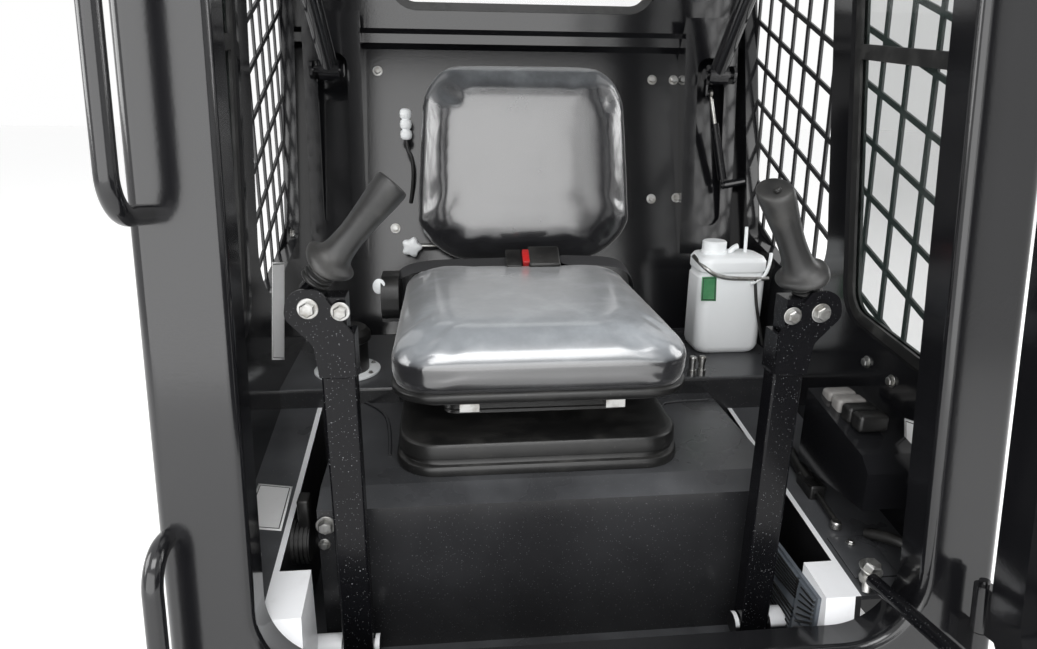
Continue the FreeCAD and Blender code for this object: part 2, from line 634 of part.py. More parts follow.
def footwell_side(name, side):
    """White side plate with the lever's stub axle, the shelf beside it and the duct before it."""
    front = shelf_front(name)
    high = (shelf_z(name, front), shelf_z(name, REAR_SHELF_Y))
    plate = side_profile(WELL_HALF, 0, high, REAR_SHELF_Y).extrude(Vector(WELL_SHEET, 0, 0))
    outside = WELL_HALF - LEVER_INSET + LEVER_WIDTH / 2 + LEVER_FLOAT
    inside = outside - LEVER_WIDTH - 2 * LEVER_FLOAT
    axle = [rod((WELL_HALF + 1, *LEVER_PIVOT), (outside, *LEVER_PIVOT), AXLE_COLLAR),
            rod((WELL_HALF + 1, *LEVER_PIVOT), (inside, *LEVER_PIVOT), LEVER_PIN),
            rod((inside, *LEVER_PIVOT), (inside - AXLE_HEAD_WIDTH, *LEVER_PIVOT), AXLE_HEAD)]
    PARTS["footwell_plate_" + name] = in_well(joined([plate] + axle), side)
    x0, x1 = side * WELL_X + WELL_HALF + WELL_SHEET, INNER
    upper = [(x0, front, high[0]), (x0, REAR_SHELF_Y, high[1])]
    lower = [(x, y, z - SHEET) for x, y, z in reversed(upper)]
    shelf = polygon(upper + lower).extrude(Vector(x1 - x0, 0, 0))
    lower = [(x, y, z - SHELF_FLANGE) for x, y, z in reversed(upper)]
    flange = polygon(upper + lower).extrude(Vector(SHEET, 0, 0)).translated(Vector(x1 - x0 - SHEET, 0, 0))
    PARTS["side_shelf_" + name] = on_side(joined([shelf, flange]), side)
    rear = DUCT_REAR[name]
    duct = side_profile(WELL_HALF - DUCT_WIDTH, SHEET, (high[0], shelf_z(name, rear)), rear)
    duct = duct.extrude(Vector(DUCT_WIDTH, 0, 0)).cut(axle_bore())
    PARTS["footwell_duct_" + name] = in_well(duct, side)


def footwell_vents():
    """Louvred panel on the right duct, with one raised pad for each outlet."""
    x = WELL_HALF - DUCT_WIDTH
    y0, y1 = VENT_COLUMNS[0][0] - VENT_SHEET, VENT_COLUMNS[-1][1] + VENT_SHEET
    z0, z1 = VENT_ROWS[0][0] - VENT_SHEET, VENT_ROWS[-1][1] + VENT_SHEET
    pads = [block(x - VENT_SHEET, x, y0, y1, z0, z1)]
    for a, b in VENT_COLUMNS:
        for c, d in VENT_ROWS:
            pads.append(block(x - VENT_SHEET - VENT_PAD, x - VENT_SHEET, a, b, c, d))
    PARTS["footwell_vents"] = in_well(joined(pads).cut(axle_bore()), 1)


def linkage_boot():
    """Ribbed rubber boot of the left lever's linkage."""
    rings = []
    x = WELL_HALF
    for count in range(BOOT_COUNT):
        for radius, width in BOOT_RINGS:
            rings.append(rod((x, *BOOT_PLACE), (x - width, *BOOT_PLACE), radius))
            x -= width
    PARTS["linkage_boot"] = in_well(joined(rings), -1)


def seat_box():
    half = WELL_HALF - BOX_GAP

    def shell(gap):
        fold = DECK - BOX_FOLD_DROP - gap
        side = [(BOX_FRONT_Y + gap, SHEET - gap), (BOX_FRONT_Y + gap, fold), (BOX_FOLD_Y + gap, DECK - gap),
                (BOX_REAR_Y - gap, DECK - gap), (BOX_REAR_Y - gap, SHEET - gap)]
        left = WELL_X - half + gap
        return polygon([(left, y, z) for y, z in side]).extrude(Vector(2 * (half - gap), 0, 0))

    PARTS["seat_box"] = shell(0).cut(shell(SHEET))


# Seat: suspension skirt with rails, sliding frame, cushion, backrest, belt
def plan(corners, z):
    return outline(corners, lambda a, b: Vector(a, b, z))


def seat_plan(half, front, rear, corner):
    return [(SEAT_X - half, front, corner), (SEAT_X + half, front, corner), (SEAT_X + half, rear, corner),
            (SEAT_X - half, rear, corner)]


def seat_suspension():
    """Moulded skirt in two steps, the lift that stands in it, and the rails on top."""
    corners = seat_plan(*SKIRT, SKIRT_CORNER)
    upper_foot = DECK + SKIRT_LOWER + SKIRT_GROOVE
    lower = plan(corners, DECK).extrude(Vector(0, 0, SKIRT_LOWER))
    neck = plan(inset(corners, SKIRT_NECK), DECK).extrude(Vector(0, 0, upper_foot + 1 - DECK))
    upper = plan(inset(corners, SKIRT_STEP), upper_foot).extrude(Vector(0, 0, SKIRT_UPPER))
    half, front, rear, rise = SCISSOR
    lift_foot = upper_foot + SKIRT_UPPER
    lift = plan(seat_plan(half, front, rear, SCISSOR_CORNER), lift_foot).extrude(Vector(0, 0, rise))
    top = lift_foot + rise
    rails = []
    for x in (SEAT_X - RAIL_X, SEAT_X + RAIL_X):
        rails.append(block(x - RAIL_HALF, x + RAIL_HALF, RAIL_FRONT_Y, RAIL_REAR_Y,
                           top, top + RAIL_HEIGHT))
    PARTS["seat_suspension"] = joined([lower, neck, upper, lift])
    PARTS["seat_rails"] = Part.makeCompound(rails)
    return top


def seat_frame(top):
    runners = []
    rail_top = top + RAIL_HEIGHT
    for x in (SEAT_X - RAIL_X, SEAT_X + RAIL_X):
        half = RAIL_HALF + RUNNER_GAP
        y0, y1 = RAIL_FRONT_Y + RUNNER_SHORT, RAIL_REAR_Y - RUNNER_SHORT
        runner = block(x - half - RUNNER_SHEET, x + half + RUNNER_SHEET, y0, y1,
                       top + RUNNER_GAP, rail_top + RUNNER_ROOF)
        slot = block(x - half, x + half, y0 - 1, y1 + 1, top, rail_top + RUNNER_PLAY)
        runners.append(runner.cut(slot))
    z = rail_top + RUNNER_ROOF
    side, front, rear_side, rear_edge = PAN_INSET
    wide, narrow = PAN_CORNERS
    corners = [(SEAT_X - CUSHION_HALF + side, CUSHION_FRONT_Y + front, wide),
               (SEAT_X + CUSHION_HALF - side, CUSHION_FRONT_Y + front, wide),
               (SEAT_X + CUSHION_REAR_HALF - rear_side, CUSHION_REAR_Y - rear_edge, narrow),
               (SEAT_X - CUSHION_REAR_HALF + rear_side, CUSHION_REAR_Y - rear_edge, narrow)]
    pan = plan(corners, z).extrude(Vector(0, 0, PAN_HEIGHT))
    y, low = BACK_FOOT
    lean = math.tan(math.radians(BACK_LEAN))
    rear = y + BACK_THICK / math.cos(math.radians(BACK_LEAN))
    top_z = low + BACK_BRACKET
    start = CUSHION_REAR_Y - BELT_Y
    for middle in (BACK_X - BACK_BRACKET_X, BACK_X + BACK_BRACKET_X):
        x = middle - BACK_BRACKET_HALF
        bracket = polygon([(x, start, z),
                           (x, rear + BRACKET_SHEET + (z - low) * lean, z),
                           (x, rear + BRACKET_SHEET + BACK_BRACKET * lean, top_z),
                           (x, rear + BACK_BRACKET * lean, top_z),
                           (x, rear + (z + PAN_HEIGHT - low) * lean, z + PAN_HEIGHT),
                           (x, start, z + PAN_HEIGHT)])
        runners.append(bracket.extrude(Vector(2 * BACK_BRACKET_HALF, 0, 0)))
    runners.append(block(SEAT_X - CUSHION_HALF - REEL_WIDTH - 2 * RUNNER_GAP,
                         SEAT_X - CUSHION_REAR_HALF + narrow, start - REEL_CORNERS[0],
                         start + REEL_REACH[0], z + PAN_HEIGHT - SHEET, z + PAN_HEIGHT))
    PARTS["seat_frame"] = joined([pan] + runners)
    return z + PAN_HEIGHT


def seat_cushion(z):
    wide, narrow = CUSHION_CORNERS
    corners = [(SEAT_X - CUSHION_HALF, CUSHION_FRONT_Y, wide),
               (SEAT_X + CUSHION_HALF, CUSHION_FRONT_Y, wide),
               (SEAT_X + CUSHION_REAR_HALF, CUSHION_REAR_Y, narrow),
               (SEAT_X - CUSHION_REAR_HALF, CUSHION_REAR_Y, narrow)]
    pad = plan(corners, z).extrude(Vector(0, 0, CUSHION_THICK))
    rim = [e for e in pad.Edges if e.BoundBox.ZMin > z + CUSHION_THICK - 1]
    PARTS["seat_cushion"] = pad.makeFillet(CUSHION_ROUND, rim)


def seat_back():
    y, z = BACK_FOOT
    low, waist, top = BACK_CORNERS
    right_side = [(BACK_HALF - BACK_FOOT_INSET, 0, low), (BACK_HALF, BACK_WAIST, waist),
                  (BACK_HALF - BACK_TOP_INSET, BACK_HEIGHT, top)]
    left_side = [(-a, b, radius) for a, b, radius in reversed(right_side)]
    pad = outline(right_side + left_side, lambda a, b: Vector(a, 0, b))
    pad = pad.extrude(Vector(0, BACK_THICK, 0))
    pad = pad.makeFillet(BACK_ROUND, [e for e in pad.Edges if e.BoundBox.YMax < 0.1])
    place = Placement(Vector(BACK_X, y, z), Rotation(Vector(1, 0, 0), -BACK_LEAN))
    PARTS["seat_back"] = pad.transformed(place.toMatrix())


def seat_belt(top):
    """Two straps laid on the cushion, the buckle between them and the wound-up end's cover."""
    y, z = CUSHION_REAR_Y - BELT_Y, top + CUSHION_THICK + LAID
    side = SEAT_X - CUSHION_HALF - 2 * RUNNER_GAP
    straps = []
    # inner end, outer end, way the strap turns, length that hangs down
    for inside, end, way, hang in (
            (BUCKLE_X - BUCKLE_HALF, side - REEL_WIDTH / 2, -1, CUSHION_THICK - REEL_HEIGHT),
            (BUCKLE_X + BUCKLE_HALF, SEAT_X + CUSHION_HALF + BELT_THICK, 1, BELT_DROP)):
        slant = 1.5 * BELT_THICK * way
        outer = [(inside, y, z + BELT_THICK), (end, y, z + BELT_THICK), (end + slant, y, z - hang)]
        inner = [(end + slant - BELT_THICK * way, y, z - hang), (end - BELT_THICK * way, y, z),
                 (inside, y, z)]
        straps.append(polygon(outer + inner).extrude(Vector(0, BELT_WIDTH, 0)))
    PARTS["seat_belt"] = Part.makeCompound(straps)
    body = block(BUCKLE_X - BUCKLE_HALF, BUCKLE_X + BUCKLE_HALF, y, y + BELT_WIDTH - 2 * LAID,
                 z, z + BUCKLE_THICK)
    rim = [e for e in body.Edges if e.BoundBox.ZMin > z + BUCKLE_THICK - 1]
    PARTS["belt_buckle"] = body.makeFillet(BUCKLE_THICK / 3, rim)
    before, behind = REEL_REACH
    foot, head = REEL_CORNERS
    cover = outline([(y - before, top, foot), (y + behind, top, foot),
                     (y + behind, top + REEL_HEIGHT, head), (y - before, top + REEL_HEIGHT, head)],
                    lambda a, b: Vector(side - REEL_WIDTH, a, b))
    PARTS["belt_reel"] = cover.extrude(Vector(REEL_WIDTH, 0, 0))


def recline_knob():
    lean = math.radians(BACK_LEAN)
    z = BACK_FOOT[1] + KNOB_RISE
    y = BACK_FOOT[0] + BACK_THICK / math.cos(lean) + KNOB_RISE * math.tan(lean)
    y += BRACKET_SHEET + KNOB_SHAFT + EYE_GAP
    end = BACK_X - BACK_HALF
    shaft = rod((BACK_X - BACK_BRACKET_X + BACK_BRACKET_HALF, y, z), (end, y, z), KNOB_SHAFT)
    PARTS["recline_knob"] = joined([shaft, rod((end, y, z), (end - KNOB_WIDTH, y, z), KNOB_RADIUS)])


# Drive levers: square tube with a folded head, and the grip on its post
def grip_ends(name, side):
    lever_x = WELL_HALF - LEVER_INSET
    return [Vector(WELL_X + side * (lever_x + outwards), y, z) for outwards, y, z in GRIPS[name]]


def lever(name, side):
    half, deep = LEVER_WIDTH / 2, LEVER_DEPTH / 2
    y, z = LEVER_PIVOT
    x, head_z = WELL_HALF - LEVER_INSET, LEVER_HEADS[name]
    lower_corner = HEAD_PLATE[-1][1]
    tube = block(x - half, x + half, y - deep, y + deep, LEVER_FOOT, head_z + lower_corner)
    tube = tube.makeFillet(LEVER_WALL, [e for e in tube.Edges if e.BoundBox.ZLength > head_z / 2])
    core = block(x - half + LEVER_WALL, x + half - LEVER_WALL, y - deep + LEVER_WALL,
                 y + deep - LEVER_WALL, LEVER_FOOT - 1, head_z + 2 * lower_corner)
    sleeve = block(x - half - HEAD_SLEEVE, x + half + HEAD_SLEEVE, y - deep - HEAD_SLEEVE,
                   y + deep + HEAD_SLEEVE, head_z, head_z + lower_corner)
    bush = rod((x - half, y, z), (x + half, y, z), LEVER_BUSH)
    arm = joined([joined([tube, sleeve]).cut(core), bush])
    arm = arm.cut(rod((x - half - 1, y, z), (x + half + 1, y, z), LEVER_PIN + FIT))
    front = y - deep - HEAD_SHEET
    plate = outline([(x + a, head_z + b, radius) for a, b, radius in HEAD_PLATE],
                    lambda a, b: Vector(a, front, b)).extrude(Vector(0, HEAD_SHEET, 0))
    inner, outer, low, high = HEAD_BOSS
    boss = block(x + inner, x + outer, front + HEAD_SHEET, front + HEAD_SHEET + HEAD_BOSS_DEPTH,
                 head_z + low, head_z + high)
    web = block(x + inner, x + half, front + HEAD_SHEET, y + deep, head_z + lower_corner, head_z + low)
    arm = in_well(joined([arm, plate, boss, web]), side)
    foot, tip = grip_ends(name, side)
    axis = (tip - foot).normalize()
    post = rod(foot - axis * GRIP_POST_REACH, foot - axis * LAID, GRIP_POST)
    PARTS["lever_arm_" + name] = joined([arm, post])


def grip(name, side):
    foot, tip = grip_ends(name, side)
    length = (tip - foot).Length
    wider, above = GRIP_SHOULDER
    # radius and height of the grip's side, drawn along its own axis
    side_line = [(0.0, 0.0), (GUARD_RADIUS - GUARD_EDGE, 0.0), (GUARD_RADIUS, GUARD_THICK / 2),
                 (GUARD_RADIUS - GUARD_EDGE, GUARD_THICK), (GRIP_RADIUS + wider, GUARD_THICK + above),
                 (GRIP_RADIUS, length / 3), (GRIP_RADIUS, length / 2),
                 (GRIP_RADIUS + GRIP_FLARE, length), (0.0, length)]
    points = [Vector(r, 0, h) for r, h in side_line]
    body = Part.Face(Part.makePolygon(points + [points[0]]))
    body = body.revolve(Vector(0, 0, 0), Vector(0, 0, 1), 360)
    place = Placement(foot, Rotation(Vector(0, 0, 1), tip - foot))
    PARTS["lever_grip_" + name] = body.transformed(place.toMatrix())


# Seat bar with its brackets and gas strut
def bar_bracket(name, side):
    low, high = BRACKET_Z
    y_low, y_high = BRACKET_Y
    x0, x1 = BRACKET_X

    def face(z):
        return y_low + (z - low) / (high - low) * (y_high - y_low)

    plate = polygon([(x0, face(low), low), (x0, face(high), high),
                     (x0, face(high) + BRACKET_PLATE, high), (x0, face(low) + BRACKET_PLATE, low)])
    plate = plate.extrude(Vector(x1 - x0, 0, 0))
    wall_top = REAR_KNEE_Z - REAR_RIB
    for x in (x0, x1 - BRACKET_PLATE):
        flange = polygon([(x, face(low), low), (x, face(high), high),
                          (x, rear_y(wall_top), wall_top), (x, rear_y(low), low)])
        plate = plate.fuse(flange.extrude(Vector(BRACKET_PLATE, 0, 0)))
    half, foot, head, corner = BRACKET_WINDOW
    window = outline([(BAR_PIVOT_X - half, foot, corner), (BAR_PIVOT_X + half, foot, corner),
                      (BAR_PIVOT_X + half, head, corner), (BAR_PIVOT_X - half, head, corner)],
                     lambda a, b: Vector(a, y_low - 1, b))
    plate = plate.cut(window.extrude(Vector(0, y_high - y_low + BRACKET_PLATE + 2, 0)))
    y, z = BAR_PIVOT
    ear_x = BAR_PIVOT_X + EAR_GAP
    inner = BAR_PIVOT_X - BAR_HUB_HALF - BAR_TAB
    ear = joined([block(ear_x, ear_x + EAR_SHEET, y, face(z) + 2, z - EAR_RADIUS, z + EAR_RADIUS),
                  rod((ear_x, y, z), (ear_x + EAR_SHEET, y, z), EAR_RADIUS)])
    pin = rod((inner, y, z), (ear_x + BAR_TAB, y, z), BAR_PIN)
    cap = rod((inner, y, z), (inner - BAR_TAB, y, z), BAR_PIN + BAR_TAB)
    PARTS["bar_bracket_" + name] = on_side(joined([plate, ear, pin, cap]), side)


def bar_strut_axis():
    """Axis about which the strut turns between its two ends, pointing to the right wall."""
    foot, head = Vector(*BAR_STRUT_FOOT), Vector(*BAR_STRUT_HEAD)
    pivot = Vector(head.x, *BAR_PIVOT)
    swung = pivot + Rotation(Vector(1, 0, 0), BAR_SWING).multVec(head - pivot)
    axis = (head - foot).cross(swung - foot).normalize()
    return axis if axis.x > 0 else axis * -1


def seat_bar():
    y, z = BAR_PIVOT
    lean = math.radians(BAR_LEAN)

    def along(x, distance):
        return (x, y - distance * math.sin(lean), z + distance * math.cos(lean))

    start, knee, end = along(BAR_PIVOT_X, 0), along(BAR_X, BAR_KNEE), along(BAR_X, BAR_REACH)
    route = [start, knee, end, (-end[0], end[1], end[2]), (-knee[0], knee[1], knee[2]),
             (-start[0], start[1], start[2])]
    bar = pipe(route, BAR_BEND, BAR_RADIUS)
    hubs = []
    for name, side in SIDES:
        hub = rod((BAR_PIVOT_X - BAR_HUB_HALF, y, z), (BAR_PIVOT_X + BAR_HUB_HALF, y, z), BAR_HUB)
        hubs.append(on_side(hub, side))
    head = Vector(*BAR_STRUT_HEAD)
    x0, x1 = BAR_PIVOT_X - BAR_HUB_HALF, BAR_PIVOT_X - BAR_HUB_HALF + BAR_TAB
    tab = joined([rod((x0, head.y, head.z), (x1, head.y, head.z), STUD_COLLAR),
                  block(x0, x1, head.y - STUD_COLLAR, head.y + STUD_COLLAR, head.z, z)])
    # the eye turns a few degrees against the stud, so it has twice the gap
    ball = rod((x0, head.y, head.z), (head.x - EYE_HALF - 2 * EYE_GAP, head.y, head.z), STUD)
    bar = joined([bar, tab, ball] + hubs)
    reach = 2 * BAR_HUB_HALF
    bores = [on_side(rod((BAR_PIVOT_X - reach, y, z), (BAR_PIVOT_X + reach, y, z), BAR_PIN + FIT), side)
             for name, side in SIDES]
    PARTS["seat_bar"] = bar.cut(Part.makeCompound(bores))


def gas_strut(foot, head, barrel_length, barrel_radius, rod_radius, eye_radius, axes, rod_gap):
    """Barrel with its eye at the foot and a rod with its eye at the head, each eye with its axis."""
    foot, head = Vector(*foot), Vector(*head)
    foot_axis, head_axis = (Vector(*axis) for axis in axes)
    along = (head - foot).normalize()
    bottom = foot + along * (eye_radius + STRUT_END)

    def flat_end(centre, way, radius, axis):
        """Eye with the flattened tongue that joins it to the round part."""
        low = centre - axis * EYE_HALF
        slab = Part.makeCylinder(eye_radius + 2 * STRUT_END, 2 * EYE_HALF, low, axis)
        tongue = Part.makeCylinder(radius, eye_radius + STRUT_END + 1, centre, way).common(slab)
        return joined([Part.makeCylinder(eye_radius, 2 * EYE_HALF, low, axis), tongue])

    barrel = Part.makeCylinder(barrel_radius, barrel_length, bottom, along)
    running = Part.makeCylinder(rod_radius + FIT, barrel_length, bottom + along * STRUT_FLOOR, along)
    bore = Part.makeCylinder(STUD + STUD_FIT, 4 * EYE_HALF, foot - foot_axis * 2 * EYE_HALF, foot_axis)
    barrel = joined([barrel, flat_end(foot, along, rod_radius + 1, foot_axis)]).cut(running).cut(bore)
    start = bottom + along * rod_gap
    end = head - along * (eye_radius + STRUT_END)
    piston = Part.makeCylinder(rod_radius, (end - start).Length, start, along)
    return barrel, joined([piston, flat_end(head, along * -1, rod_radius, head_axis)])


def bar_strut():
    barrel, end = gas_strut(BAR_STRUT_FOOT, BAR_STRUT_HEAD, BAR_STRUT_BARREL, BAR_STRUT_RADIUS,
                            BAR_STRUT_ROD, BAR_STRUT_EYE, (bar_strut_axis(), (1, 0, 0)), STRUT_SPARE)
    PARTS["bar_strut_barrel"] = barrel
    PARTS["bar_strut_rod"] = end


# Front door, drawn closed in the doorway's plane, then swung open about its hinge line
def swung(shape):
    base = Vector(HINGE_X, HINGE_W, 0)
    turn = Placement(Vector(0, 0, 0), Rotation(Vector(0, 0, 1), DOOR_OPEN), base)
    return leaned(shape.transformed(turn.toMatrix()))


def door():
    front, back = -DOOR_BACK - DOOR_DEPTH, -DOOR_BACK
    rim = [(-DOOR_HALF, DOOR_FOOT, DOOR_CORNER), (DOOR_HALF, DOOR_FOOT, DOOR_CORNER),
           (DOOR_HALF, DOOR_TOP, DOOR_CORNER), (-DOOR_HALF, DOOR_TOP, DOOR_CORNER)]
    frame = outline(rim, lambda a, b: Vector(a, front, b)).extrude(Vector(0, DOOR_DEPTH, 0))
    outside = [e for e in frame.Edges if e.BoundBox.YMax < front + 0.1]
    frame = frame.makeFillet(DOOR_ROUND, outside)
    inner = inset(rim, DOOR_STILE)
    left, right = inner[0][0], inner[1][0]
    sight = [(left, DOOR_PANEL_TOP, DOOR_PANE_CORNER), (right, DOOR_PANEL_TOP, DOOR_PANE_CORNER),
             inner[2], inner[3]]
    hole = outline(sight, lambda a, b: Vector(a, front - 1, b)).extrude(Vector(0, DOOR_DEPTH + 2, 0))
    panel_top = DOOR_PANEL_TOP - DOOR_RAIL
    low = [inner[0], inner[1], (right, panel_top, DOOR_PANEL_CORNER), (left, panel_top, DOOR_PANEL_CORNER)]
    press = outline(low, lambda a, b: Vector(a, front + DOOR_SKIN, b)).extrude(Vector(0, DOOR_DEPTH, 0))
    frame = frame.cut(hole).cut(press)
    knuckles = []
    for height in HINGE_HEIGHTS:
        z0 = height - HINGE_LENGTH / 2 + HINGE_LEAF + HINGE_GAP
        z1 = height + HINGE_LENGTH / 2
        barrel = rod((HINGE_X, HINGE_W, z0), (HINGE_X, HINGE_W, z1), HINGE_RADIUS)
        strap = block(right + HINGE_LAP, HINGE_X, HINGE_W - HINGE_STRAP, HINGE_W + HINGE_STRAP, z0, z1)
        knuckles.append(joined([barrel, strap]))
    pins = [rod((HINGE_X, HINGE_W, h - HINGE_LENGTH), (HINGE_X, HINGE_W, h + HINGE_LENGTH), HINGE_PIN + FIT)
            for h in HINGE_HEIGHTS]
    x, stand = HINGE_X - STRUT_DOOR, HINGE_W + STRUT_STANDOFF
    half, height = STRUT_PLATE
    panel_back = front + DOOR_SKIN
    foot_plate = block(x - half, x + half, panel_back - 1, back, STRUT_LEVEL - height, STRUT_LEVEL + height)
    half, under, over = STRUT_ARM
    arm = block(x - half, x + half, back - 1, stand + STRUT_EYE, STRUT_LEVEL - under, STRUT_LEVEL - over)
    stud = rod((x, stand, STRUT_LEVEL - under), (x, stand, STRUT_LEVEL - EYE_HALF - EYE_GAP), STUD)
    whole = joined([frame, foot_plate, arm, stud] + knuckles).cut(Part.makeCompound(pins))
    PARTS["door_frame"] = swung(whole)
    pane = outline(inset(sight, PANE_GAP), lambda a, b: Vector(a, front + DOOR_GLASS_SET, b))
    PARTS["door_glass"] = swung(pane.extrude(Vector(0, GLASS, 0)))


def door_hinge_posts():
    """Fixed halves of the hinges with their pins, on the right post."""
    halves = []
    for height in HINGE_HEIGHTS:
        z0 = height - HINGE_LENGTH / 2
        knuckle = rod((HINGE_X, HINGE_W, z0), (HINGE_X, HINGE_W, z0 + HINGE_LEAF), HINGE_RADIUS)
        pin = rod((HINGE_X, HINGE_W, z0), (HINGE_X, HINGE_W, z0 + HINGE_LENGTH + HINGE_PIN), HINGE_PIN)
        foot = block(HINGE_X - STUD_COLLAR, HINGE_X + STUD_COLLAR, HINGE_W, 0, z0, z0 + HINGE_LEAF)
        halves.append(joined([knuckle, pin, foot]))
    PARTS["door_hinges"] = leaned(Part.makeCompound(halves))


def door_strut():
    base = Vector(HINGE_X, HINGE_W, 0)
    closed = Vector(HINGE_X - STRUT_DOOR, HINGE_W + STRUT_STANDOFF, STRUT_LEVEL)
    turn = Placement(Vector(0, 0, 0), Rotation(Vector(0, 0, 1), DOOR_OPEN), base)
    head = turn.multVec(closed)
    x, depth = STRUT_CAB
    foot = Vector(x, depth, STRUT_LEVEL)
    stroke = (foot - head).Length - (foot - closed).Length
    upright = (0, 0, 1)
    barrel, end = gas_strut(foot, head, STRUT_BARREL, STRUT_RADIUS, STRUT_ROD, STRUT_EYE,
                            (upright, upright), stroke + STRUT_SPARE)
    PARTS["door_strut_barrel"] = leaned(barrel)
    PARTS["door_strut_rod"] = leaned(end)
    # the shelf's surface at the stud, in the leaning frame
    shelf = (shelf_z("right", leaned_point(*foot)[1]) + depth * math.sin(LEAN)) / math.cos(LEAN)
    low = shelf - SHEET / 2
    below, above = STRUT_LEVEL - EYE_HALF - COLLAR_GAP, STRUT_LEVEL + EYE_HALF + COLLAR_GAP
    stud = joined([rod((x, depth, low), (x, depth, above), STUD),
                   rod((x, depth, low), (x, depth, below), STUD_COLLAR)])
    PARTS["side_shelf_right"] = joined([PARTS["side_shelf_right"], leaned(stud)])


# Controls, bottle and rails
def switch_console():
    (rear, high), (front, low) = CONSOLE_TOP
    nose, upper, lower = CONSOLE_NOSE
    x0 = INNER - CONSOLE_WIDTH
    box = polygon([(x0, rear, CONSOLE_FOOT), (x0, rear, high), (x0, front, low), (x0, nose, upper),
                   (x0, nose, lower)])
    PARTS["switch_console"] = box.extrude(Vector(CONSOLE_WIDTH, 0, 0))
    slope = (high - low) / (rear - front)
    switches = []
    for count in range(SWITCH_COUNT):
        y = rear - SWITCH_FIRST - count * SWITCH_PITCH
        z = high + (y - rear) * slope
        switches.append(block(x0 + SWITCH_X[0], x0 + SWITCH_X[1], y - SWITCH_HALF, y + SWITCH_HALF,
                              z + SWITCH_RISE[0], z + SWITCH_RISE[1]))
    PARTS["rocker_switches"] = Part.makeCompound(switches)


def washer_bottle():
    (x0, x1), (y0, y1) = BOTTLE_X, BOTTLE_Y
    corners = [(x0, y0, BOTTLE_CORNER), (x1, y0, BOTTLE_CORNER), (x1, y1, BOTTLE_CORNER),
               (x0, y1, BOTTLE_CORNER)]
    shoulder = REAR_SHELF_TOP + BOTTLE_HEIGHT
    body = plan(corners, REAR_SHELF_TOP).extrude(Vector(0, 0, BOTTLE_HEIGHT))
    body = body.makeFillet(BOTTLE_ROUND, [e for e in body.Edges if e.BoundBox.ZMin > shoulder - 1])
    x, y, radius, height = BOTTLE_NECK
    neck = rod((x, y, shoulder - BOTTLE_ROUND), (x, y, shoulder + height), radius)
    PARTS["washer_bottle"] = joined([body, neck])


def fluid_cup():
    foot = Vector((SEAT_X - SKIRT[0] - INNER) / 2, CUP_Y, REAR_SHELF_TOP)
    flange = rod(foot, foot + Vector(0, 0, SHEET), CUP_FLANGE)
    PARTS["fluid_cup"] = joined([flange, Part.makeCone(*CUP_RADII, CUP_HEIGHT, foot)])


def throttle_lever():
    """Hand lever on a bent rod, held by a plate on the rear wall."""
    inwards, z = THROTTLE
    x = inwards - BRACKET_X[0]
    half, tall = THROTTLE_HALF
    low, high = rear_y(z - tall), rear_y(z + tall)
    plate = polygon([(x - half, low, z - tall), (x - half, low - THROTTLE_REACH, z - tall),
                     (x - half, high - THROTTLE_REACH, z + tall), (x - half, high, z + tall)])
    plate = plate.extrude(Vector(2 * half, 0, 0))
    foot, rod_end, tip = THROTTLE_RISE
    wall = rear_y(z) - half
    stem = pipe([(x, wall, z), (x, wall - THROTTLE_REACH, z), (x, wall, z + rod_end)],
                THROTTLE_HALF[1] - THROTTLE_ROD, THROTTLE_ROD)
    lean = THROTTLE_REACH / rod_end
    grip_foot = (x, wall - THROTTLE_REACH + foot * lean, z + foot)
    grip_tip = (x, wall - THROTTLE_REACH + tip * lean, z + tip)
    PARTS["throttle_lever"] = joined([plate, stem, rod(grip_foot, grip_tip, THROTTLE_GRIP)])


def door_fittings():
    """Handle on the free stile and a wiper on the outer face of the glass."""
    front = -DOOR_BACK - DOOR_DEPTH
    x = -DOOR_HALF + DOOR_STILE / 2
    low, high = HANDLE_Z
    base = block(x - HANDLE_HALF, x + HANDLE_HALF, front - HANDLE_BASE, front, low, high)
    rim = [e for e in base.Edges if e.BoundBox.YMax < front - HANDLE_BASE + 0.1]
    base = base.makeFillet(HANDLE_BASE - 2, rim)
    low, high = low + HANDLE_END, high - HANDLE_END
    pull = pipe([(x, front, low), (x, front - HANDLE_REACH, low), (x, front - HANDLE_REACH, high),
                 (x, front, high)], HANDLE_BEND, HANDLE_GRIP)
    PARTS["door_handle"] = swung(joined([base, pull]))
    half, depth, low, high = WIPER_MOTOR
    motor = block(-half, half, front - depth, front, low, high)
    rim = [e for e in motor.Edges if e.BoundBox.YMax < front - depth + 0.1]
    motor = motor.makeFillet(DOOR_ROUND, rim)
    (x0, z0), (x1, z1) = WIPER_ARM
    arm = rod((x0, front - depth + DOOR_SKIN, z0), (x1, front - DOOR_SKIN, z1), WIPER_HALF + 1)
    blade = block(x1 - WIPER_HALF, x1 + WIPER_HALF, front - 2, front + DOOR_GLASS_SET - PANE_GAP,
                  *WIPER_BLADE)
    PARTS["door_wiper"] = swung(joined([motor, arm, blade]))


def grab_rails():
    rails = []
    for inset_x, standoff, low, high in GRAB_RAILS:
        x = -CAB_HALF + inset_x
        route = [leaned_point(x, 0, low), leaned_point(x, -standoff, low),
                 leaned_point(x, -standoff, high), leaned_point(x, 0, high)]
        rails.append(pipe(route, min(RAIL_BEND, standoff - 2), RAIL_TUBE))
    PARTS["grab_rails"] = Part.makeCompound(rails)


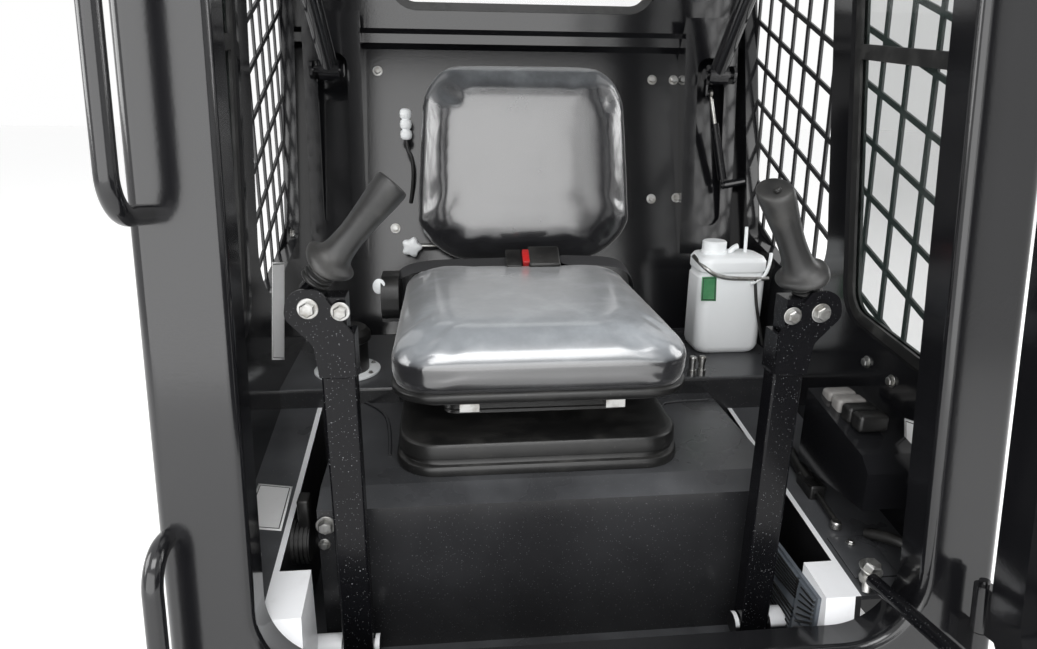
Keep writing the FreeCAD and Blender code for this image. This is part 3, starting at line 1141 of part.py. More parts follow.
def build():
    front_frame()
    rear_wall()
    roof()
    floor_pan()
    rear_shelf()
    footwell_vents()
    linkage_boot()
    seat_box()
    top = seat_suspension()
    cushion_z = seat_frame(top)
    seat_cushion(cushion_z)
    seat_belt(cushion_z)
    seat_back()
    recline_knob()
    for name, side in SIDES:
        footwell_side(name, side)
        side_wall(name, side)
        side_window(name, side)
        side_mesh(name, side)
        lever(name, side)
        grip(name, side)
        bar_bracket(name, side)
    seat_bar()
    bar_strut()
    door()
    door_hinge_posts()
    door_strut()
    switch_console()
    washer_bottle()
    fluid_cup()
    grab_rails()
    throttle_lever()
    door_fittings()


os.makedirs("parts", exist_ok=True)
build()
for node, shape in PARTS.items():
    if not shape.isValid() or shape.Volume <= 0:
        print("check", node, shape.ShapeType, shape.isValid(), shape.Volume)
    shape.exportStep("parts/" + node + ".step")
print(len(PARTS), "nodes")
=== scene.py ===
import bpy, math
from mathutils import Matrix, Vector


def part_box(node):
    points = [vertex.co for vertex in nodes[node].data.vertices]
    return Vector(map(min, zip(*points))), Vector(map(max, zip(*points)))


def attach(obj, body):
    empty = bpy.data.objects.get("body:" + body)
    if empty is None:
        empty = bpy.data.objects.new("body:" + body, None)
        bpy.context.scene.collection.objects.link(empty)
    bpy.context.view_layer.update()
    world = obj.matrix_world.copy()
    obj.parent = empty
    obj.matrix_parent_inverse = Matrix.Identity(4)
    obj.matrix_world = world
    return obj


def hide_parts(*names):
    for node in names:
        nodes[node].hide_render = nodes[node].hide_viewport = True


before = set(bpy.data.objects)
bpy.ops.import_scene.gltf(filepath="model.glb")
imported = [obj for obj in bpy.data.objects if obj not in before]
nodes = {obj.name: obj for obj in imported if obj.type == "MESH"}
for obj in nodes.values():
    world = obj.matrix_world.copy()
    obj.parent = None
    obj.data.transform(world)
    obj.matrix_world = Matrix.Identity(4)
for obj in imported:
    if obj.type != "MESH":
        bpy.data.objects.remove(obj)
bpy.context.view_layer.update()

scene = bpy.context.scene
scene.view_settings.view_transform = "Standard"

# Camera: at a standing person's eye level, a step in front of the open doorway and left of its
# middle, looking down into the footwell. Its focal length is in pixels of the photograph.
eye = Vector((-0.178, -1.10, 0.78))
pitch, yaw, roll = math.radians(18.0), math.radians(6.0), math.radians(0.6)
photo_width, focal_pixels = 1037.0, 720.0
ahead = Vector((math.sin(yaw) * math.cos(pitch), math.cos(yaw) * math.cos(pitch), -math.sin(pitch)))
level_right = Vector((math.cos(yaw), -math.sin(yaw), 0.0))
level_up = level_right.cross(ahead)
right = level_right * math.cos(roll) + level_up * math.sin(roll)
up = level_up * math.cos(roll) - level_right * math.sin(roll)
camera = bpy.data.objects.new("doorway_camera", bpy.data.cameras.new("doorway_camera"))
scene.collection.objects.link(camera)
camera.data.sensor_width = 36.0
camera.data.lens = camera.data.sensor_width * focal_pixels / photo_width
camera.data.clip_start = 0.01
camera.matrix_world = Matrix.Translation(eye) @ Matrix((right, up, -ahead)).transposed().to_4x4()
scene.camera = camera

# Studio: a wide pale floor, a white surround and soft plain lamps, the widest one behind the
# camera. The surround is at full strength where it is seen or mirrored, and dimmer as a light.
floor_glow, surround_light = 0.45, 0.45
bpy.ops.mesh.primitive_plane_add(size=30, location=(0, 0, -0.001))
floor = bpy.context.object
floor.name = "studio_floor"
floor_paint = bpy.data.materials.new("studio_white")
floor_paint.use_nodes = True
floor_shader = floor_paint.node_tree.nodes["Principled BSDF"]
floor_shader.inputs["Base Color"].default_value = (0.8, 0.8, 0.8, 1)
floor_shader.inputs["Emission Color"].default_value = (1, 1, 1, 1)
floor_shader.inputs["Emission Strength"].default_value = floor_glow
floor.data.materials.append(floor_paint)
for name, place, target, size, power in (
        ("front_lamp", (-0.6, -4.6, 1.8), (0, 0, 0.7), (8.0, 4.0), 250),
        ("top_lamp", (0.2, -2.0, 4.0), (0, -0.2, 0.4), (2.6, 1.6), 80),
        ("left_lamp", (-3.6, -0.4, 2.0), (0, 0, 0.7), (2.0, 2.0), 60),
        ("right_lamp", (3.6, 0.6, 2.0), (0, 0, 0.7), (2.0, 2.0), 60)):
    lamp = bpy.data.lights.new(name, "AREA")
    lamp.shape, lamp.size, lamp.size_y, lamp.energy = "RECTANGLE", *size, power
    holder = bpy.data.objects.new(name, lamp)
    scene.collection.objects.link(holder)
    holder.location = place
    holder.rotation_euler = (Vector(target) - Vector(place)).to_track_quat("-Z", "Y").to_euler()
world = bpy.data.worlds.new("studio")
scene.world = world
world.use_nodes = True
world_nodes, world_links = world.node_tree.nodes, world.node_tree.links
ray = world_nodes.new("ShaderNodeLightPath")
seen = ray.outputs["Is Camera Ray"]
for kind in ("Is Glossy Ray", "Is Transmission Ray"):
    either = world_nodes.new("ShaderNodeMath")
    either.operation = "ADD"
    world_links.new(seen, either.inputs[0])
    world_links.new(ray.outputs[kind], either.inputs[1])
    seen = either.outputs[0]
strength = world_nodes.new("ShaderNodeMapRange")
strength.inputs["To Min"].default_value = surround_light
world_links.new(seen, strength.inputs["Value"])
world_nodes["Background"].inputs["Color"].default_value = (1, 1, 1, 1)
world_links.new(strength.outputs[0], world_nodes["Background"].inputs["Strength"])


# Painted steel of the shell: pressed and folded plates with satin black enamel, welded together.
# The enamel has a faint orange peel. Dust lies mostly on what faces up, and dried drops all over.
class Value:
    """One socket of a material's nodes. Operators add Math nodes, and node() adds any other."""

    def __init__(self, tree, socket):
        self.tree, self.socket = tree, socket

    def node(self, kind, settings=None, inputs=None, output=0):
        new = self.tree.nodes.new("ShaderNode" + kind)
        for key, setting in (settings or {}).items():
            setattr(new, key, setting)
        for key, value in (inputs or {}).items():
            if isinstance(value, Value):
                self.tree.links.new(value.socket, new.inputs[key])
            else:
                new.inputs[key].default_value = value
        return Value(self.tree, new.outputs[output])

    def maths(self, operation, first, second):
        return self.node("Math", {"operation": operation}, {0: first, 1: second})

    def __add__(self, other):
        return self.maths("ADD", self, other)

    def __radd__(self, other):
        return self.maths("ADD", other, self)

    def __sub__(self, other):
        return self.maths("SUBTRACT", self, other)

    def __rsub__(self, other):
        return self.maths("SUBTRACT", other, self)

    def __mul__(self, other):
        return self.maths("MULTIPLY", self, other)

    def __rmul__(self, other):
        return self.maths("MULTIPLY", other, self)

    def __lt__(self, other):
        return self.maths("LESS_THAN", self, other)

    def noise(self, scale, detail=3.0, rough=0.5):
        return self.node("TexNoise", None, {"Vector": self, "Scale": scale, "Detail": detail,
                                            "Roughness": rough})

    def between(self, low, high):
        """0 below low, 1 above high, smooth in between."""
        return self.node("MapRange", {"interpolation_type": "SMOOTHSTEP"},
                         {"Value": self, "From Min": low, "From Max": high})

    def blend(self, first, second):
        """Mixes two colours, this value being the share of the second."""
        return self.node("Mix", {"data_type": "RGBA"}, {0: self, 6: first, 7: second}, 2)

    def bump(self, strength, distance):
        return self.node("Bump", None, {"Height": self, "Strength": strength, "Distance": distance})


def finish(name, look, **fixed):
    """A material: look gets the object's coordinates and gives the sockets that change over it."""
    material = bpy.data.materials.new(name)
    material.use_nodes = True
    tree = material.node_tree
    shader = tree.nodes["Principled BSDF"]
    for socket, value in fixed.items():
        shader.inputs[socket.replace("_", " ")].default_value = value
    place = Value(tree, tree.nodes.new("ShaderNodeTexCoord").outputs["Object"])
    for socket, value in look(place).items():
        tree.links.new(value.socket, shader.inputs[socket])
    return material


def facing_up(place, low=0.5, high=0.95):
    """1 on what faces up, 0 on upright faces."""
    normal = place.node("NewGeometry", output=1)
    return normal.node("SeparateXYZ", None, {0: normal}, 2).between(low, high)


def speckles(place, size, share):
    """Small round specks in cells of a size; share is the part of the cells that has one."""
    cells = place.node("TexVoronoi", {"feature": "F1"}, {"Vector": place, "Scale": 1 / size}, 0)
    tint = place.node("TexVoronoi", {"feature": "F1"}, {"Vector": place, "Scale": 1 / size}, 1)
    chosen = tint.node("SeparateColor", None, {0: tint}, 0) < share
    return (1 - cells.between(0.05, 0.16)) * chosen


dust_grey = (0.28, 0.29, 0.31, 1)
dried_grey = (0.55, 0.56, 0.58, 1)


def black_enamel(name, colour, roughness, dust, specks, size=0.003, shine=0.6):
    """Satin black paint; dust is the film on what faces up, and upright faces have a fifth of it."""
    def look(place):
        cloud = place.noise(5.0, 4.0, 0.55).between(0.30, 0.80)
        lying = facing_up(place) * 0.8 + 0.2
        film = (cloud * 0.5 + 0.2) * lying * dust
        drops = speckles(place, size, 0.45) * specks
        fog = speckles(place, size * 2.3, 0.30) * specks * cloud
        base = film.blend(colour, dust_grey)
        peel = place.noise(260.0, 2.0) + place.noise(60.0, 2.0) * 0.5
        return {"Base Color": ((drops + fog) * 0.35).blend(base, dried_grey),
                "Roughness": roughness + film * 0.4 + drops * 0.3,
                "Normal": peel.bump(0.10, 0.0004)}
    return finish(name, look, Specular_IOR_Level=shine)


def paint(material, *names):
    """Gives nodes that keep their shape a material in place of their own."""
    for name in names:
        slots = nodes[name].material_slots
        if not slots:
            nodes[name].data.materials.append(material)
        for slot in slots:
            slot.material = material


shell_black = black_enamel("shell_black", (0.006, 0.006, 0.007, 1), 0.13, 0.06, 0.05)
deck_black = black_enamel("deck_black", (0.010, 0.010, 0.011, 1), 0.22, 0.52, 0.8)
paint(shell_black, "front_sill", "front_header", "front_post_left", "front_post_right", "side_wall_left",
      "side_wall_right", "rear_wall", "roof", "grab_rails", "door_frame", "door_hinges",
      "bar_bracket_left", "bar_bracket_right", "seat_bar", "switch_console")
paint(deck_black, "floor_pan", "rear_shelf", "side_shelf_left", "side_shelf_right", "seat_box",
      "seat_frame")


# Footwell ducts and side plates: folded sheet under white enamel, grimy and smeared by boots. The
# side plates are white along their top edge, and their upright faces are painted black as shade.
grime_grey = (0.50, 0.48, 0.45, 1)
# Painted shade: the black that the plates' upright faces get.
plate_shade_black = (0.010, 0.010, 0.011, 1)


def white_look(place):
    grime = place.noise(14.0, 5.0, 0.65).between(0.55, 0.85)
    smear = place.noise(55.0, 4.0).between(0.55, 0.8)
    return {"Base Color": (grime * 0.22 + smear * 0.10).blend((0.92, 0.93, 0.95, 1), grime_grey),
            "Roughness": 0.32 + grime * 0.25,
            "Normal": place.noise(200.0, 2.0).bump(0.08, 0.0006)}


def plate_shade_look(place):
    """White enamel on the plate's top edge, and painted shade in black on its upright faces."""
    white = white_look(place)
    white["Base Color"] = facing_up(place, 0.2, 0.5).blend(plate_shade_black, white["Base Color"])
    return white


paint(finish("white_enamel", white_look), "footwell_duct_left", "footwell_duct_right")
paint(finish("plate_enamel_shaded", plate_shade_look), "footwell_plate_left", "footwell_plate_right")


# Guard meshes: flat bars welded crosswise and set outside the side windows. Their black paint is
# duller than the shell's, with more dried drops on it.
guard_black = black_enamel("guard_black", (0.012, 0.012, 0.013, 1), 0.38, 0.10, 0.3)
paint(guard_black, "side_mesh_left", "side_mesh_right")


# Panes: clear toughened glass with a thin film of dust. Each sits in a black rubber profile that is
# pressed round its opening, and the boot of the left lever's linkage is of the same rubber.
def glass_look(place):
    film = place.noise(9.0, 4.0, 0.6).between(0.5, 0.9)
    edge = place.node("Fresnel", None, {"IOR": 1.5})
    return {"Alpha": edge * 0.4 + 0.02 + film * 0.03, "Roughness": 0.02 + film * 0.06}


window_glass = finish("window_glass", glass_look, Base_Color=(0.05, 0.08, 0.07, 1),
                      Specular_IOR_Level=1.0)
paint(window_glass, "side_glass_left", "side_glass_right", "rear_glass", "door_glass")


def rubber_look(place):
    bloom = place.noise(30.0, 4.0, 0.6).between(0.45, 0.8)
    return {"Base Color": bloom.blend((0.012, 0.012, 0.012, 1), (0.05, 0.05, 0.048, 1)),
            "Roughness": 0.42 + bloom * 0.2, "Normal": place.noise(400.0, 2.0).bump(0.1, 0.0004)}


window_rubber = finish("window_rubber", rubber_look)
paint(window_rubber, "rear_seal", "side_seal_left", "side_seal_right", "linkage_boot")


# Seat suspension: a black moulded skirt in two steps over the springs, screwed to the seat box, and
# a ribbed lift block on it that carries the rails. The skirt has rolled lips and a groove between
# its steps.
dust_brown = (0.40, 0.38, 0.35, 1)


def plastic_look(place):
    dust = place.noise(18.0, 5.0, 0.6).between(0.4, 0.8) * (facing_up(place) * 0.6 + 0.4)
    specks = speckles(place, 0.007, 0.3)
    return {"Base Color": (dust * 0.06 + specks * 0.15).blend((0.009, 0.009, 0.009, 1), dust_brown),
            "Roughness": 0.34 + dust * 0.22,
            "Normal": place.noise(700.0, 2.0).bump(0.22, 0.0004)}


moulded_black = finish("moulded_black", plastic_look)


def alone(piece):
    """Selects one piece and makes it the active one."""
    if bpy.context.object and bpy.context.object.mode == "EDIT":
        bpy.ops.object.mode_set(mode="OBJECT")
    bpy.ops.object.select_all(action="DESELECT")
    piece.select_set(True)
    bpy.context.view_layer.objects.active = piece


def started(name, kind, **sizes):
    """Adds a primitive at its size and place, with all else deselected first."""
    bpy.ops.object.select_all(action="DESELECT")
    getattr(bpy.ops.mesh, "primitive_" + kind + "_add")(**sizes)
    piece = bpy.context.object
    piece.name = piece.data.name = name
    bpy.ops.object.transform_apply(location=True, rotation=True, scale=True)
    return piece


def pick(piece, kind, test):
    """In edit mode, selects the faces or points whose place and direction pass a test."""
    alone(piece)
    bpy.ops.object.mode_set(mode="EDIT")
    bpy.ops.mesh.select_mode(type=kind)
    bpy.ops.mesh.select_all(action="DESELECT")
    bpy.ops.object.mode_set(mode="OBJECT")
    if kind == "FACE":
        for face in piece.data.polygons:
            face.select = test(face.center, face.normal)
    else:
        for point in piece.data.vertices:
            point.select = test(point.co, point.normal)
    bpy.ops.object.mode_set(mode="EDIT")


def done():
    """Leaves edit mode."""
    bpy.ops.object.mode_set(mode="OBJECT")


def modified(piece, kind, **settings):
    """Adds a modifier and applies it."""
    alone(piece)
    modifier = piece.modifiers.new(kind.lower(), kind)
    for key, value in settings.items():
        setattr(modifier, key, value)
    bpy.ops.object.modifier_apply(modifier=modifier.name)


def softened(piece, width, segments=3, angle=35):
    """Bevels the edges that turn by more than an angle."""
    modified(piece, "BEVEL", width=width, segments=segments, limit_method="ANGLE",
             angle_limit=math.radians(angle))


def joined(name, pieces):
    """Makes one piece of several, under one name."""
    alone(pieces[0])
    for piece in pieces:
        piece.select_set(True)
    if len(pieces) > 1:
        bpy.ops.object.join()
    pieces[0].name = pieces[0].data.name = name
    return pieces[0]


def dressed(piece, material, angle=40):
    """Gives a finished piece its material and smooth shading."""
    piece.data.materials.clear()
    piece.data.materials.append(material)
    alone(piece)
    bpy.ops.object.shade_smooth_by_angle(angle=math.radians(angle))
    return piece


def round_plan(name, half_x, half_y, corner, z, segments=8):
    """A flat plate with round corners, its outline ready to be drawn up."""
    plate = started(name, "plane", size=1, location=(0, 0, z))
    plate.data.transform(Matrix.Diagonal((2 * half_x, 2 * half_y, 1, 1)))
    pick(plate, "VERT", lambda middle, way: True)
    bpy.ops.mesh.bevel(offset=corner, segments=segments, affect="VERTICES")
    done()
    return plate


def drawn_up(plate, steps):
    """Draws a plate up through steps of a rise and a change of its half width and half depth."""
    pick(plate, "FACE", lambda middle, way: True)
    middle = Vector((0, 0, plate.data.vertices[0].co.z))
    size = plate.dimensions / 2
    wide, deep = size.x, size.y
    for rise, widen in steps:
        bpy.ops.mesh.extrude_region_move(TRANSFORM_OT_translate={"value": (0, 0, rise)})
        middle.z += rise
        bpy.ops.transform.resize(value=((wide + widen) / wide, (deep + widen) / deep, 1),
                                 center_override=middle)
        wide, deep = wide + widen, deep + widen
    bpy.ops.mesh.select_all(action="SELECT")
    bpy.ops.mesh.normals_make_consistent(inside=False)
    done()
    return plate


skirt_low, skirt_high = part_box("seat_suspension")
skirt_mid = (skirt_low + skirt_high) / 2
skirt_half = (skirt_high - skirt_low) / 2
skirt_corner, skirt_edge = 0.062, 0.0012
skirt_steps = ((0.010, 0), (0.004, -0.0015), (0.002, -0.006), (0.008, -0.001),
               (0.001, 0.005), (0.020, -0.001), (0.003, -0.003), (0.001, -0.010))
lift_half_x, lift_half_y, lift_corner = 0.144, 0.130, 0.020
lift_y, lift_foot = 0.060, 0.297
lift_steps = ((0.006, -0.003), (0.004, 0.003)) * 4 + ((0.006, 0),)
skirt = round_plan("suspension_skirt", skirt_half.x, skirt_half.y, skirt_corner, skirt_low.z)
drawn_up(skirt, skirt_steps)
skirt.data.transform(Matrix.Translation((skirt_mid.x, skirt_mid.y, 0)))
softened(skirt, skirt_edge, 2, 20)
lift = round_plan("suspension_lift", lift_half_x, lift_half_y, lift_corner, lift_foot)
drawn_up(lift, lift_steps)
lift.data.transform(Matrix.Translation((skirt_mid.x, lift_y, 0)))
skirt = joined("suspension_skirt", [skirt, lift])
dressed(skirt, moulded_black)
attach(skirt, "cab")
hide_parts("seat_suspension")


# Seat cushion and backrest: foam under gloss black vinyl, drawn over a moulded pan and welded at
# its seams. Each is blown up a little by a cloth simulation, then smoothed and subdivided.
vinyl_black = (0.018, 0.018, 0.020, 1)
vinyl_dust_and_sheen = (0.46, 0.49, 0.52, 1)


def vinyl_look(place):
    """Fine grain and soft pulls; dust and painted sky reflection on what faces up, more at the front."""
    grain = place.node("TexVoronoi", {"feature": "F1"}, {"Vector": place, "Scale": 900.0}, 0)
    smudge = place.noise(11.0, 5.0, 0.6).between(0.42, 0.75)
    front_sheen = place.node("SeparateXYZ", None, {0: place}, 1).between(0.18, -0.12)
    # The pale film is partly dust and partly painted reflection of the sky, and its rise to the front is
    # painted reflection.
    lying = smudge * 0.22 + place.noise(60.0, 4.0) * 0.16 + 0.26 + front_sheen * 0.30
    film = facing_up(place, 0.15, 1.0) * lying
    pulls = place.noise(13.0, 3.0, 0.5)
    return {"Base Color": (film + smudge * 0.02).blend(vinyl_black, vinyl_dust_and_sheen),
            "Roughness": 0.20 + smudge * 0.08,
            "Normal": (grain * 0.30 + pulls * 1.8).bump(0.10, 0.0010)}


seat_vinyl = finish("seat_vinyl", vinyl_look, Specular_IOR_Level=1.0, Coat_Weight=0.7, Coat_Roughness=0.14,
                    Coat_IOR=1.7, Sheen_Weight=0.5, Sheen_Roughness=0.35)


cloth_frames = 20
pad_voxel, pad_pressure = 0.005, 4.0


def blown_up(piece, voxel, pressure, most, pinned, passes=10):
    """Fills a pad by cloth pressure; pinned says which points stay, most is the furthest move."""
    modified(piece, "REMESH", mode="VOXEL", voxel_size=voxel)
    before = [point.co.copy() for point in piece.data.vertices]
    group = piece.vertex_groups.new(name="held")
    group.add([i for i, place in enumerate(before) if pinned(place)], 1.0, "REPLACE")
    alone(piece)
    cloth = piece.modifiers.new("cloth", "CLOTH")
    cloth.settings.use_pressure, cloth.settings.uniform_pressure_force = True, pressure
    cloth.settings.vertex_group_mass = "held"
    cloth.settings.quality = 5
    cloth.settings.effector_weights.gravity = 0.0
    for step in range(1, cloth_frames + 1):
        scene.frame_set(step)
    bpy.ops.object.modifier_apply(modifier=cloth.name)
    for point, start in zip(piece.data.vertices, before):
        move = point.co - start
        if move.length > most:
            point.co = start + move * (most / move.length)
    scene.frame_set(1)
    piece.vertex_groups.clear()
    modified(piece, "SMOOTH", factor=0.5, iterations=passes)
    modified(piece, "SUBSURF", levels=1, render_levels=1)


cushion_low, cushion_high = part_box("seat_cushion")
cushion_mid = (cushion_low + cushion_high) / 2
cushion_half = (cushion_high - cushion_low) / 2
cushion_inset_x, cushion_inset_y, cushion_corner = 0.008, 0.009, 0.062
cushion_steps = ((0.013, 0.004), (0.002, -0.002), (0.002, 0.003), (0.012, 0.004), (0.014, 0.002),
                 (0.014, -0.004), (0.012, -0.010), (0.010, -0.018), (0.006, -0.026), (0.002, -0.030))
square_from, square_power = 0.05, 1.7
top_height, fall_from, front_fall = 0.05, 0.2, 0.012
rear_narrowing, cushion_swell, cushion_held = 0.006, 0.005, 0.018
cushion = round_plan("seat_cushion_cover", cushion_half.x - cushion_inset_x,
                     cushion_half.y - cushion_inset_y, cushion_corner, cushion_low.z)
drawn_up(cushion, cushion_steps)
# The rear corners are drawn out square, the top falls to the front, and the plan narrows to the rear.
deep = cushion_half.y
rear = deep - square_from
for point in cushion.data.vertices:
    y, z = point.co.y, point.co.z
    if y > square_from:
        point.co.y = deep - rear * (max(0.0, deep - y) / rear) ** square_power
    if z > cushion_low.z + top_height:
        point.co.z -= front_fall * max(0.0, -fall_from - y / deep) ** 2
    point.co.x *= 1 - rear_narrowing / cushion_half.x * (y + deep) / (2 * deep)
cushion.data.transform(Matrix.Translation((cushion_mid.x, cushion_mid.y, 0)))
blown_up(cushion, pad_voxel, pad_pressure, cushion_swell,
         lambda place: place.z < cushion_low.z + cushion_held)
dressed(cushion, seat_vinyl, 60)
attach(cushion, "seat")
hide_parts("seat_cushion")

back_low, back_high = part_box("seat_back")
back_foot = Vector(((back_low.x + back_high.x) / 2, 0.304, 0.450))
back_lean = math.radians(9.0)
back_half, back_height, back_thick = 0.228, 0.392, 0.066
back_foot_inset, back_top_inset, back_waist = 0.042, 0.030, 0.120
back_edge_inset, back_corner, back_foot_power = 0.014, 0.078, 1.6
back_steps = ((0.008, 0.008), (0.012, 0.006), (0.008, 0.0), (0.009, -0.004), (0.009, -0.009),
              (0.006, -0.012), (0.005, -0.017), (0.004, -0.024), (0.0025, -0.030), (0.0015, -0.040))
back_swell, back_held, back_passes = 0.006, 0.012, 24
back_place = Matrix.Translation(back_foot) @ Matrix.Rotation(-back_lean, 4, "X")
backrest = round_plan("seat_back_cover", back_half - back_edge_inset, back_height / 2 - back_edge_inset,
                      back_corner, 0.0)
drawn_up(backrest, back_steps)
# The pad is drawn up from its rear face lying down, then stood up, tapered and leaned back.
upright = Matrix(((1, 0, 0, 0), (0, 0, -1, back_thick), (0, 1, 0, back_height / 2), (0, 0, 0, 1)))
backrest.data.transform(upright)
for point in backrest.data.vertices:
    height = point.co.z
    if height < back_waist:
        narrow = back_foot_inset * (1 - height / back_waist) ** back_foot_power
    else:
        narrow = back_top_inset * (height - back_waist) / (back_height - back_waist)
    point.co.x *= 1 - narrow / back_half
backrest.data.transform(back_place)
back_normal = (back_place.to_3x3() @ Vector((0, 1, 0))).normalized()
blown_up(backrest, pad_voxel, pad_pressure, back_swell,
         lambda place: (place - back_foot).dot(back_normal) > back_thick - back_held, back_passes)
dressed(backrest, seat_vinyl, 60)
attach(backrest, "seat")
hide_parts("seat_back")


# Cushion pan: a moulded black rim that the vinyl is tucked behind, bolted to the sliding frame. It
# shows as a thin line under the cushion.
pan_inset, pan_corner, pan_drop = 0.005, 0.066, 0.010
pan = round_plan("cushion_pan", cushion_half.x - pan_inset, cushion_half.y - pan_inset, pan_corner,
                 cushion_low.z - pan_drop)
drawn_up(pan, ((0.004, 0.003), (0.008, 0.001), (0.003, -0.004)))
pan.data.transform(Matrix.Translation((cushion_mid.x, cushion_mid.y, 0)))
softened(pan, 0.0015, 2)
dressed(pan, moulded_black)
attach(pan, "seat")


# Hardware: zinc plated hexagon bolts and nuts with washers, screwed through the plates. Each is
# drawn once about the origin, and its copies are scaled, turned and set in place.
def zinc_look(place):
    stain = place.noise(60.0, 4.0, 0.6)
    return {"Base Color": stain.between(0.4, 0.7).blend((0.46, 0.46, 0.45, 1), (0.26, 0.25, 0.23, 1)),
            "Roughness": stain * 0.25 + 0.24, "Normal": place.noise(900.0, 2.0).bump(0.1, 0.0003)}


def turned(name, rings, foot=(0, 0, 0), tip=(0, 0, 1), sides=32):
    """A piece drawn up ring by ring; a ring is its height and its radius, or radii along X and Y."""
    rings = [ring if len(ring) > 2 else (ring[0], ring[1], ring[1]) for ring in rings]
    height, wide, deep = rings[0]
    bpy.ops.object.select_all(action="DESELECT")
    bpy.ops.mesh.primitive_circle_add(vertices=sides, radius=1, fill_type="NGON", location=(0, 0, 0))
    piece = bpy.context.object
    piece.name = piece.data.name = name
    bpy.ops.object.mode_set(mode="EDIT")
    bpy.ops.transform.resize(value=(wide, deep, 1), center_override=(0, 0, 0))
    bpy.ops.transform.translate(value=(0, 0, height))
    for above, wider, deeper in rings[1:]:
        bpy.ops.mesh.extrude_region_move(TRANSFORM_OT_translate={"value": (0, 0, above - height)})
        bpy.ops.transform.resize(value=(wider / wide, deeper / deep, 1), center_override=(0, 0, above))
        height, wide, deep = above, wider, deeper
    bpy.ops.mesh.select_all(action="SELECT")
    bpy.ops.mesh.normals_make_consistent(inside=False)
    done()
    run = Vector(tip) - Vector(foot)
    piece.data.transform(Matrix.Translation(foot) @ run.to_track_quat("Z", "Y").to_matrix().to_4x4())
    return piece


def placed(master, name, place, direction, size):
    """A copy of a piece drawn about the origin, with its own mesh, turned and set in place."""
    copy = bpy.data.objects.new(name, master.data.copy())
    scene.collection.objects.link(copy)
    turn = Vector(direction).to_track_quat("Z", "Y").to_matrix().to_4x4()
    copy.data.transform(Matrix.Translation(place) @ turn @ Matrix.Scale(size, 4))
    return copy


zinc = finish("zinc_plate", zinc_look, Metallic=1.0)
washer_rings = ((0, 0.0100), (0.0004, 0.0106), (0.0014, 0.0106), (0.0018, 0.0100))
bolt_rings = ((0.0017, 0.0078), (0.0066, 0.0078), (0.0078, 0.0066))
nut_rings = ((0.0017, 0.0066), (0.0026, 0.0078), (0.0072, 0.0078), (0.0082, 0.0066))
bolt_washer = turned("bolt_washer", washer_rings, sides=24)
bolt_head = turned("bolt_head", bolt_rings, sides=6)
bolt_mark = turned("bolt_mark", ((0.0076, 0.0052), (0.0080, 0.0046)), sides=18)
bolt = joined("bolt_master", [bolt_washer, bolt_head, bolt_mark])
nut_head = turned("nut_head", nut_rings, sides=6)
nut_thread = turned("nut_thread", ((0.0060, 0.0044), (0.0128, 0.0044), (0.0136, 0.0036)), sides=16)
nut_washer = turned("nut_washer", washer_rings, sides=24)
nut = joined("nut_master", [nut_washer, nut_head, nut_thread])


def fastened(name, body, places, master=bolt):
    """Copies of a bolt or nut at (place, direction, size), joined into one piece."""
    copies = [placed(master, name, place, direction, size) for place, direction, size in places]
    piece = dressed(joined(name, copies), zinc, 30)
    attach(piece, body)
    return piece


def rear_panel(x, z):
    """A point on the leaning rear panel and the way it faces."""
    knee_y, knee_z, foot_y, foot_z = 0.545, 0.860, 0.380, 0.250
    share = (z - foot_z) / (knee_z - foot_z)
    out = Vector((0, foot_z - knee_z, knee_y - foot_y)).normalized()
    return Vector((x, foot_y + share * (knee_y - foot_y), z)), out


rear_wall_places = ((-0.311, 0.816), (0.282, 0.805), (0.330, 0.805), (0.278, 0.555), (0.335, 0.557),
                    (-0.282, 0.497))
fastened("rear_wall_bolts", "cab", [(*rear_panel(x, z), 1.0) for x, z in rear_wall_places])
wall_x, side_bolt_size = 0.470, 0.9
right_wall_places = ((-0.116, 0.385), (-0.182, 0.380), (-0.225, 0.241))
left_wall_places = ((-0.116, 0.385), (0.30, 0.515))
side_bolts = [(Vector((sign * wall_x, y, z)), Vector((-sign, 0, 0)), side_bolt_size)
              for sign, places in ((1, right_wall_places), (-1, left_wall_places)) for y, z in places]
fastened("side_wall_bolts", "cab", side_bolts)


# Drive levers: square steel tube under speckled black paint. A folded head plate with two bolts
# carries the grip, and a weld bead runs round the tube at the plate's foot.
def tube(name, points, radius, material, closed=False):
    """A round line through given points."""
    line = bpy.data.curves.new(name, "CURVE")
    line.dimensions = "3D"
    line.bevel_depth, line.bevel_resolution, line.use_fill_caps = radius, 3, True
    run = line.splines.new("NURBS")
    run.points.add(len(points) - 1)
    for point, place in zip(run.points, points):
        point.co = (*place, 1)
    run.order_u, run.use_endpoint_u, run.use_cyclic_u = 3, not closed, closed
    line.materials.append(material)
    piece = bpy.data.objects.new(name, line)
    scene.collection.objects.link(piece)
    alone(piece)
    bpy.ops.object.convert(target="MESH")
    bpy.ops.object.shade_smooth()
    return piece


lever_black = black_enamel("lever_black", (0.004, 0.004, 0.005, 1), 0.22, 0.03, 2.2, size=0.0024,
                           shine=0.20)
paint(lever_black, "lever_arm_left", "lever_arm_right")
lever_front, weld_radius = -0.300, 0.0026
weld_corners = ((-0.0225, -0.2975), (0.0225, -0.2975), (0.0225, -0.2625), (-0.0225, -0.2625))
for side, sign, middle, plate_foot, bolts in (
        ("left", -1, -0.306, 0.458, ((0.028, 0.543), (-0.008, 0.539))),
        ("right", 1, 0.250, 0.445, ((0.028, 0.525), (-0.008, 0.522)))):
    fastened("lever_bolts_" + side, "lever_" + side,
             [(Vector((middle + sign * out, lever_front, z)), Vector((0, -1, 0)), 1.15 - 0.1 * index)
              for index, (out, z) in enumerate(bolts)])
    corners = [Vector((middle + x, y, plate_foot)) for x, y in weld_corners]
    weld = tube("lever_weld_" + side, corners, weld_radius, lever_black, closed=True)
    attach(weld, "lever_" + side)


